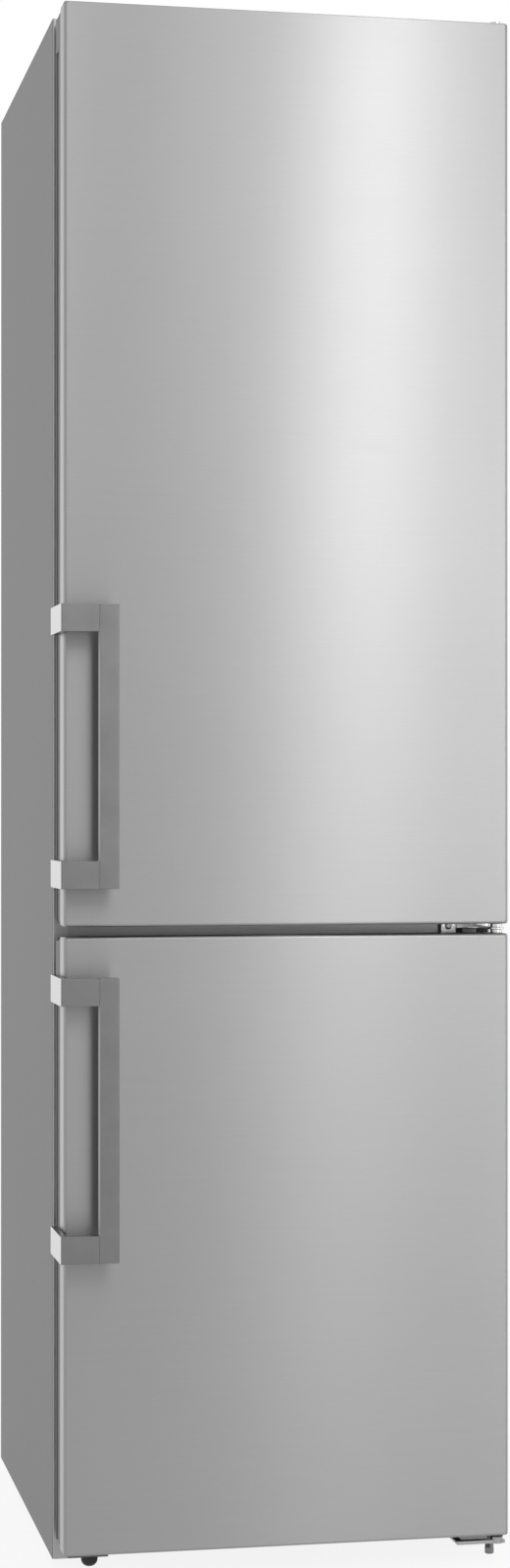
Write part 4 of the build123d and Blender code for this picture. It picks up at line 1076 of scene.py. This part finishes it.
def threaded(piece, centre, low, high, radius, pitch, finish):
    """A screw thread: its radius is a triangle wave of height over pitch less the share of a turn."""
    steps = 24
    level = np.linspace(low, high, int((high - low) / pitch * 6) + 1)
    phase = (level[:, None] / pitch - (np.arange(steps) / steps)[None, :]) % 1.0
    depth = np.minimum(level - low, high - level).clip(0, TAPER_HEIGHT)[:, None] / TAPER_HEIGHT
    wave = radius - THREAD_DEPTH * (1 - np.abs(2 * phase - 1)) - THREAD_TAPER * (1 - depth)
    profile = np.stack([np.ones(len(level)), level], axis=-1)
    piece.grid(revolved(profile, centre, steps=steps, wave=wave), finish)


def left_foot():
    """A turned foot: a rounded base with grip flutes, under a threaded stud."""
    low, high = corners("left_foot")
    centre = (*centre_of("left_foot")[:2], 0.0)
    radius = (high[0] - low[0]) / 2
    piece = Piece("left_foot_base", "left_foot", "left_foot", "black_plastic")
    bend = quarter(6)
    steps = FLUTE_COUNT * 3
    ring = np.concatenate([radius - FOOT_ROUND * (1 - np.sin(bend)),
                           [radius, radius, radius - FINE_ROUND, STUD_RADIUS + SHEET]])
    level = np.concatenate([FOOT_ROUND * (1 - np.cos(bend)),
                            [FOOT_ROUND + SHEET, FOOT_TOP - SHEET, FOOT_TOP, FOOT_TOP]])
    flute = np.concatenate([np.zeros(len(bend)), [1.0, 1.0, 1.0, 0.0]])
    wave = 1 - FLUTE_SHARE * flute[:, None] * (0.5 + 0.5 * np.cos(FLUTE_COUNT * full_turn(steps))[None, :])
    piece.grid(revolved(np.stack([ring, level], axis=-1), centre, steps=steps, wave=wave), black_plastic)
    threaded(piece, centre, FOOT_TOP - SHEET, high[2], STUD_RADIUS, 0.00125, zinc_steel)
    piece.made()


def right_foot():
    """A threaded stud with a plain round toe."""
    low, high = corners("right_foot")
    centre = (*centre_of("right_foot")[:2], 0.0)
    radius = (high[0] - low[0]) / 2
    piece = Piece("right_foot_stud", "right_foot", "right_foot", "zinc_steel")
    piece.grid(revolved(barrel(radius, 0.0, TOE_HEIGHT, SHEET), centre), bolt_metal)
    threaded(piece, centre, TOE_HEIGHT - CRISP_ROUND, high[2], radius, 0.0015, bolt_metal)
    piece.made()


TREAD_CROWN = 0.0009
TREAD_EDGE = 0.0022
DISH_RADIUS = 0.0035
DISH_SLOPE = 0.001
DISH_DEPTH = 0.002
WHEEL_HUB = 0.005


def roller(name):
    """A moulded wheel: a crowned tread, a dished side and a hub round its axle."""
    low, high = corners(name)
    half = (high[0] - low[0]) / 2
    radius = (high[2] - low[2]) / 2
    tread = [(radius - TREAD_CROWN * x * x, x * (half - SOFT_ROUND)) for x in np.linspace(-1.0, 1.0, 7)]
    rim, floor = radius - DISH_RADIUS, half - DISH_DEPTH
    side = [(radius - TREAD_EDGE, half), (rim, half), (rim - DISH_SLOPE, floor),
            (WHEEL_HUB + CRISP_ROUND, floor), (WHEEL_HUB, half), (AXLE_HOLE, half)]
    profile = [(r, -x) for r, x in side[::-1]] + tread + side
    piece = Piece(f"{name}_wheel", name, name, "black_plastic")
    piece.grid(revolved(profile, centre_of(name), "yzx"), black_plastic, ring=True)
    piece.made()


left_foot()
right_foot()
roller("left_roller")
roller("right_roller")

# Machinery

CAN_RADIUS = 0.07
CAN_FROM_SIDE = 0.088
CAN_FOOT_ROUND = 0.016
SEAM_LEVEL = 0.07
SEAM_PROUD = 0.002
LID_RADIUS = 0.0345
LID_HEIGHT = 0.034
LID_STEP = 0.0015
PLATE_HEIGHT = 0.003
PLATE_LENGTH = 0.176
PLATE_INSET = 0.014
PRESSED_CORNER = 0.012
BOX_LAP = 0.006
BOX_REACH = 0.034
BOX_HALF = 0.017
BOX_LEVELS = (0.034, 0.036, 0.064, 0.068)
BOX_CORNERS = (0.004, 0.005)


def compressor():
    """A welded can: a rounded foot, a seam that stands out half way up and a domed lid, on a pressed base,
    with a terminal box on its side."""
    low, high = corners("compressor")
    centre = (low[0] + CAN_FROM_SIDE, (low[1] + high[1]) / 2, 0.0)
    base = low[2] + PLATE_HEIGHT
    bend = quarter(8)
    foot = [(CAN_RADIUS - CAN_FOOT_ROUND + CAN_FOOT_ROUND * math.sin(t),
             base + CAN_FOOT_ROUND - CAN_FOOT_ROUND * math.cos(t)) for t in bend]
    seam = base + SEAM_LEVEL
    proud = CAN_RADIUS + SEAM_PROUD
    band = [(CAN_RADIUS, seam - 3 * SEAM_PROUD), (CAN_RADIUS, seam - FULL_ROUND), (proud, seam - SEAM_PROUD),
            (proud, seam + SEAM_PROUD), (CAN_RADIUS - LID_STEP, seam + FULL_ROUND)]
    lid = [(CAN_RADIUS - LID_STEP - LID_RADIUS * (1 - math.cos(t)),
            high[2] - LID_HEIGHT * (1 - math.sin(t))) for t in bend]
    piece = Piece("compressor_can", "cabinet", "compressor", "compressor_black")
    piece.grid(revolved(foot + band + lid, centre, steps=64), compressor_black)
    west, east, nose, tail = low[0], low[0] + PLATE_LENGTH, low[1] + PLATE_INSET, high[1] - PLATE_INSET
    path = outline((west, nose, PRESSED_CORNER), (east, nose, PRESSED_CORNER),
                   (east, tail, PRESSED_CORNER), (west, tail, PRESSED_CORNER))
    piece.grid(extruded(path, low[2], base, FINE_ROUND), zinc_steel)
    side = centre[0] + CAN_RADIUS
    cover = (side - BOX_LAP, side + BOX_REACH, centre[1] - BOX_HALF, centre[1] + BOX_HALF)
    small, large = BOX_CORNERS
    foot_level, wall_start, wall_end, top = (base + level for level in BOX_LEVELS)
    rows = bent([], cover, (BEND_ROUND, small, foot_level), (0, large, wall_start), 4)
    rows = bent(rows, cover, (0, large, wall_end), (small, small, top), 4, True)
    piece.grid(lofted(rows), black_plastic)
    piece.made()


def dish():
    """The evaporation dish: a shallow black tray with a rolled rim."""
    box, low, high = plan_box("evaporation_dish")
    piece = Piece("evaporation_tray", "cabinet", "evaporation_dish", "black_plastic")
    open_tub(piece, box, low, high, black_plastic, radius=0.01, foot=0.006, wall=0.002, bead=0.0015)
    piece.made()


FAN_BLADES = 5
FAN_HUB = 0.015
HUB_CROWN = 0.004
BLADE_POINTS = 9
BLADE_PITCH = 50.0
BLADE_TWIST = 18.0
BLADE_THICKNESS = 0.0011
BLADE_CAMBER = 0.0025
BLADE_WIDTH_SHARE = 0.92
BLADE_DEPTH_SHARE = 0.9


def fan():
    """Five twisted blades on a round hub: a blade's pitch falls from root to tip, its width follows a sine,
    its middle line an arch of one less the square of the chord, and its thickness the root of that."""
    low, high = corners("freezer_fan")
    radius = (high[2] - low[2]) / 2
    half = (high[1] - low[1]) / 2
    hole = (0.0, *centre_of("freezer_fan")[1:])
    inner = FAN_HUB - SHEET
    piece = Piece("freezer_fan_wheel", "freezer_fan", "freezer_fan", "black_plastic")
    profile = [(AXLE_HOLE, -half), (FAN_HUB - HUB_CROWN, -half), (inner, -half + SMALL_ROUND),
               (FAN_HUB, -half + HUB_CROWN), (FAN_HUB, half - SHEET), (inner, half), (AXLE_HOLE, half)]
    piece.grid(revolved(profile, hole, "zxy"), black_plastic, ring=True)
    span = np.linspace(0.0, 1.0, BLADE_POINTS)[:, None]
    there, back = np.linspace(-1, 1, BLADE_POINTS), np.linspace(1, -1, BLADE_POINTS)[1:-1]
    chord = np.concatenate([there, back])[None, :]
    face = np.concatenate([np.ones(len(there)), -np.ones(len(back))])[None, :]
    reach = inner + span * (radius - FAN_HUB)
    pitch = np.radians(BLADE_PITCH - BLADE_TWIST * span)
    swell = 0.75 + 0.25 * np.sin(math.pi * (0.25 + 0.6 * span))
    along = chord * (half * BLADE_WIDTH_SHARE * swell / np.cos(pitch))
    arch = 1 - chord ** 2
    proud = BLADE_THICKNESS * np.sqrt(np.clip(arch, 0.02, 1)) * face + BLADE_CAMBER * arch
    deep = along * np.cos(pitch) * BLADE_DEPTH_SHARE - proud * np.sin(pitch)
    swing = along * np.sin(pitch) + proud * np.cos(pitch)
    for i in range(FAN_BLADES):
        angle = i * 2 * math.pi / FAN_BLADES + swing / reach
        grid = np.stack([reach * np.cos(angle), reach * np.sin(angle), np.clip(deep, -half, half)], axis=-1)
        piece.grid(laid(grid, "zxy") + np.array(hole), black_plastic)
    piece.made(crease=50.0)


compressor()
dish()
fan()

# Lamp and buttons of the control panel

LENS_HALF = 0.1
LENS_FROM_FRONT = 0.07
LENS_FROM_BACK = 0.014
LENS_CORNER = 0.007
BUTTON_COUNT = 4
BUTTON_RADIUS = 0.0045
BUTTON_HEIGHT = 0.0006
BUTTON_STEP = 0.03
BUTTON_PLACE = 0.0075


def control_lamp():
    """A milky lens let into the panel's underside and four round buttons on its slanted front."""
    low, high = corners("control_panel")
    lens = (-LENS_HALF, LENS_HALF, low[1] + LENS_FROM_FRONT, high[1] - LENS_FROM_BACK)
    piece = Piece("control_lamp", "cabinet", None, "control_grey")
    rows = bent([], lens, (SHEET, LENS_CORNER - SHEET, low[2] + TINY), (0, LENS_CORNER, low[2] + SHEET), 4)
    piece.grid(lofted(rows + [drawn(lens, 0, LENS_CORNER, low[2] + 2 * SHEET)]), lamp_lens)
    profile = [(BUTTON_RADIUS, -HAIR_ROUND), (BUTTON_RADIUS, BUTTON_HEIGHT)]
    profile += [(BUTTON_RADIUS - SOFT_ROUND * (1 - math.cos(t)), BUTTON_HEIGHT * (1 + math.sin(t)))
                for t in quarter(4)]
    button = revolved(profile, (0.0, 0.0, 0.0), steps=24)
    across, along, out = (button[..., axis] for axis in range(3))
    slope = math.sqrt(0.5)
    grid = np.stack([across, slope * (along - out), -slope * (along + out)], axis=-1)
    for i in range(BUTTON_COUNT):
        middle = (i - (BUTTON_COUNT - 1) / 2) * BUTTON_STEP
        piece.grid(grid + np.array([middle, low[1] + BUTTON_PLACE, low[2] + BUTTON_PLACE]), shelf_trim)
    piece.made()


control_lamp()

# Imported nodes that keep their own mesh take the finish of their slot

FINISHES = {
    "steel_front": steel_front, "cabinet_grey": cabinet_grey, "frame_dark": frame_dark,
    "handle_metal": handle_metal, "bright_steel": bright_steel, "gasket": gasket_grey,
    "liner_white": liner_white, "clear_plastic": clear_plastic, "shelf_glass": shelf_glass,
    "foam": foam_cream, "black_plastic": black_plastic, "zinc_steel": zinc_steel,
    "compressor_black": compressor_black, "coil_metal": coil_metal, "control_grey": control_grey,
    "spring_grey": spring_grey,
}

for entry in frame["record"]["subparts"]:
    nodes[entry["node"]].data.materials[0] = FINISHES[entry["material_slot"]]
nodes["middle_rail"].data.materials[0] = rail_steel
nodes["base_pan"].data.materials[0] = pan_grey

# Light: tall strips in front of the doors, a soft box on each side, the pale floor and the white room

ROOM_LIGHT = 0.7
FLOOR_WHITE = 0.88
FLOOR_REACH = 40.0
STRIP_WIDTH = 0.2
STRIP_FRONT = -3.3
DOORS_MIDDLE = (0.0, -0.3, 1.0)
# Each strip is its place across the front, its height, how tall it is and its power.
# Each draws its own soft column down the steel, the brightest right of the middle.
STRIPS = (
    (0.7, 0.55, 0.9, 0.9), (1.45, 0.55, 0.9, 5.0),
    (0.85, 1.6, 1.0, 4.2), (1.2, 1.6, 1.0, 3.0),
    (0.0, 2.8, 1.2, 3.4), (0.45, 2.8, 1.2, 2.1), (0.85, 2.8, 1.2, 7.1), (1.2, 2.8, 1.2, 1.4),
)


def soft_box(name, place, aim, size, power):
    """A rectangular lamp at place, facing aim."""
    data = bpy.data.lights.new(name, "AREA")
    data.shape = "RECTANGLE"
    data.size, data.size_y = size
    data.energy = power
    lamp = placed(name, data)
    lamp.location = place
    direction = Vector(aim) - Vector(place)
    lamp.rotation_euler = direction.to_track_quat("-Z", "Y").to_euler()


for across, height, tall, power in STRIPS:
    place = (across, STRIP_FRONT, height)
    soft_box(f"strip_{across}_{height}", place, DOORS_MIDDLE, (STRIP_WIDTH, tall), power)
soft_box("left_box", place=(-3.5, -0.5, 1.6), aim=(0.0, 0.0, 1.0), size=(1.6, 2.4), power=7.0)
soft_box("right_box", place=(3.0, -1.2, 1.6), aim=(0.0, -0.2, 1.0), size=(2.2, 2.4), power=15.0)


def seen_share(start):
    """1 for a ray from the camera, from gloss or through glass, and 0 for one that only lights."""
    seen = start.node("LightPath", output="Is Camera Ray")
    for kind in ("Is Glossy Ray", "Is Transmission Ray"):
        seen = seen.math("MAXIMUM", seen, start.node("LightPath", output=kind))
    return seen


def white_room():
    """A room that is white where it is seen, directly or in gloss, and softer where it lights."""
    world = bpy.data.worlds.new("room")
    bpy.context.scene.world = world
    world.use_nodes = True
    world.node_tree.nodes.clear()
    start = Wire(world.node_tree)
    strength = seen_share(start) * (1 - ROOM_LIGHT) + ROOM_LIGHT
    light = start.node("Background", {"Color": grey(1.0), "Strength": strength})
    start.node("OutputWorld", {"Surface": light})


def pale_floor():
    """A wide pale floor: nearly white where it is seen, with a share of its real shading for a shadow."""
    finish = Finish("pale_floor")
    tone = finish.tone(finish.noise(3.0), 1.0, 0.0, dark=0.86, light=0.9)
    lit = finish.start.node("BsdfPrincipled", {"Base Color": tone, "Roughness": 0.7})
    white = finish.start.node("Emission", {"Color": grey(1.0), "Strength": 1.0})
    both = finish.start.node("MixShader", {0: seen_share(finish.start) * FLOOR_WHITE, 1: lit, 2: white})
    finish.start.node("OutputMaterial", {"Surface": both})
    mesh = bpy.data.meshes.new("floor")
    corner_list = [(-1, -1), (1, -1), (1, 1), (-1, 1)]
    mesh.from_pydata([(FLOOR_REACH * x, FLOOR_REACH * y, 0.0) for x, y in corner_list], [], [(0, 1, 2, 3)])
    mesh.materials.append(finish.material)
    placed("floor", mesh)


white_room()
pale_floor()

bpy.context.scene.view_settings.view_transform = "Standard"
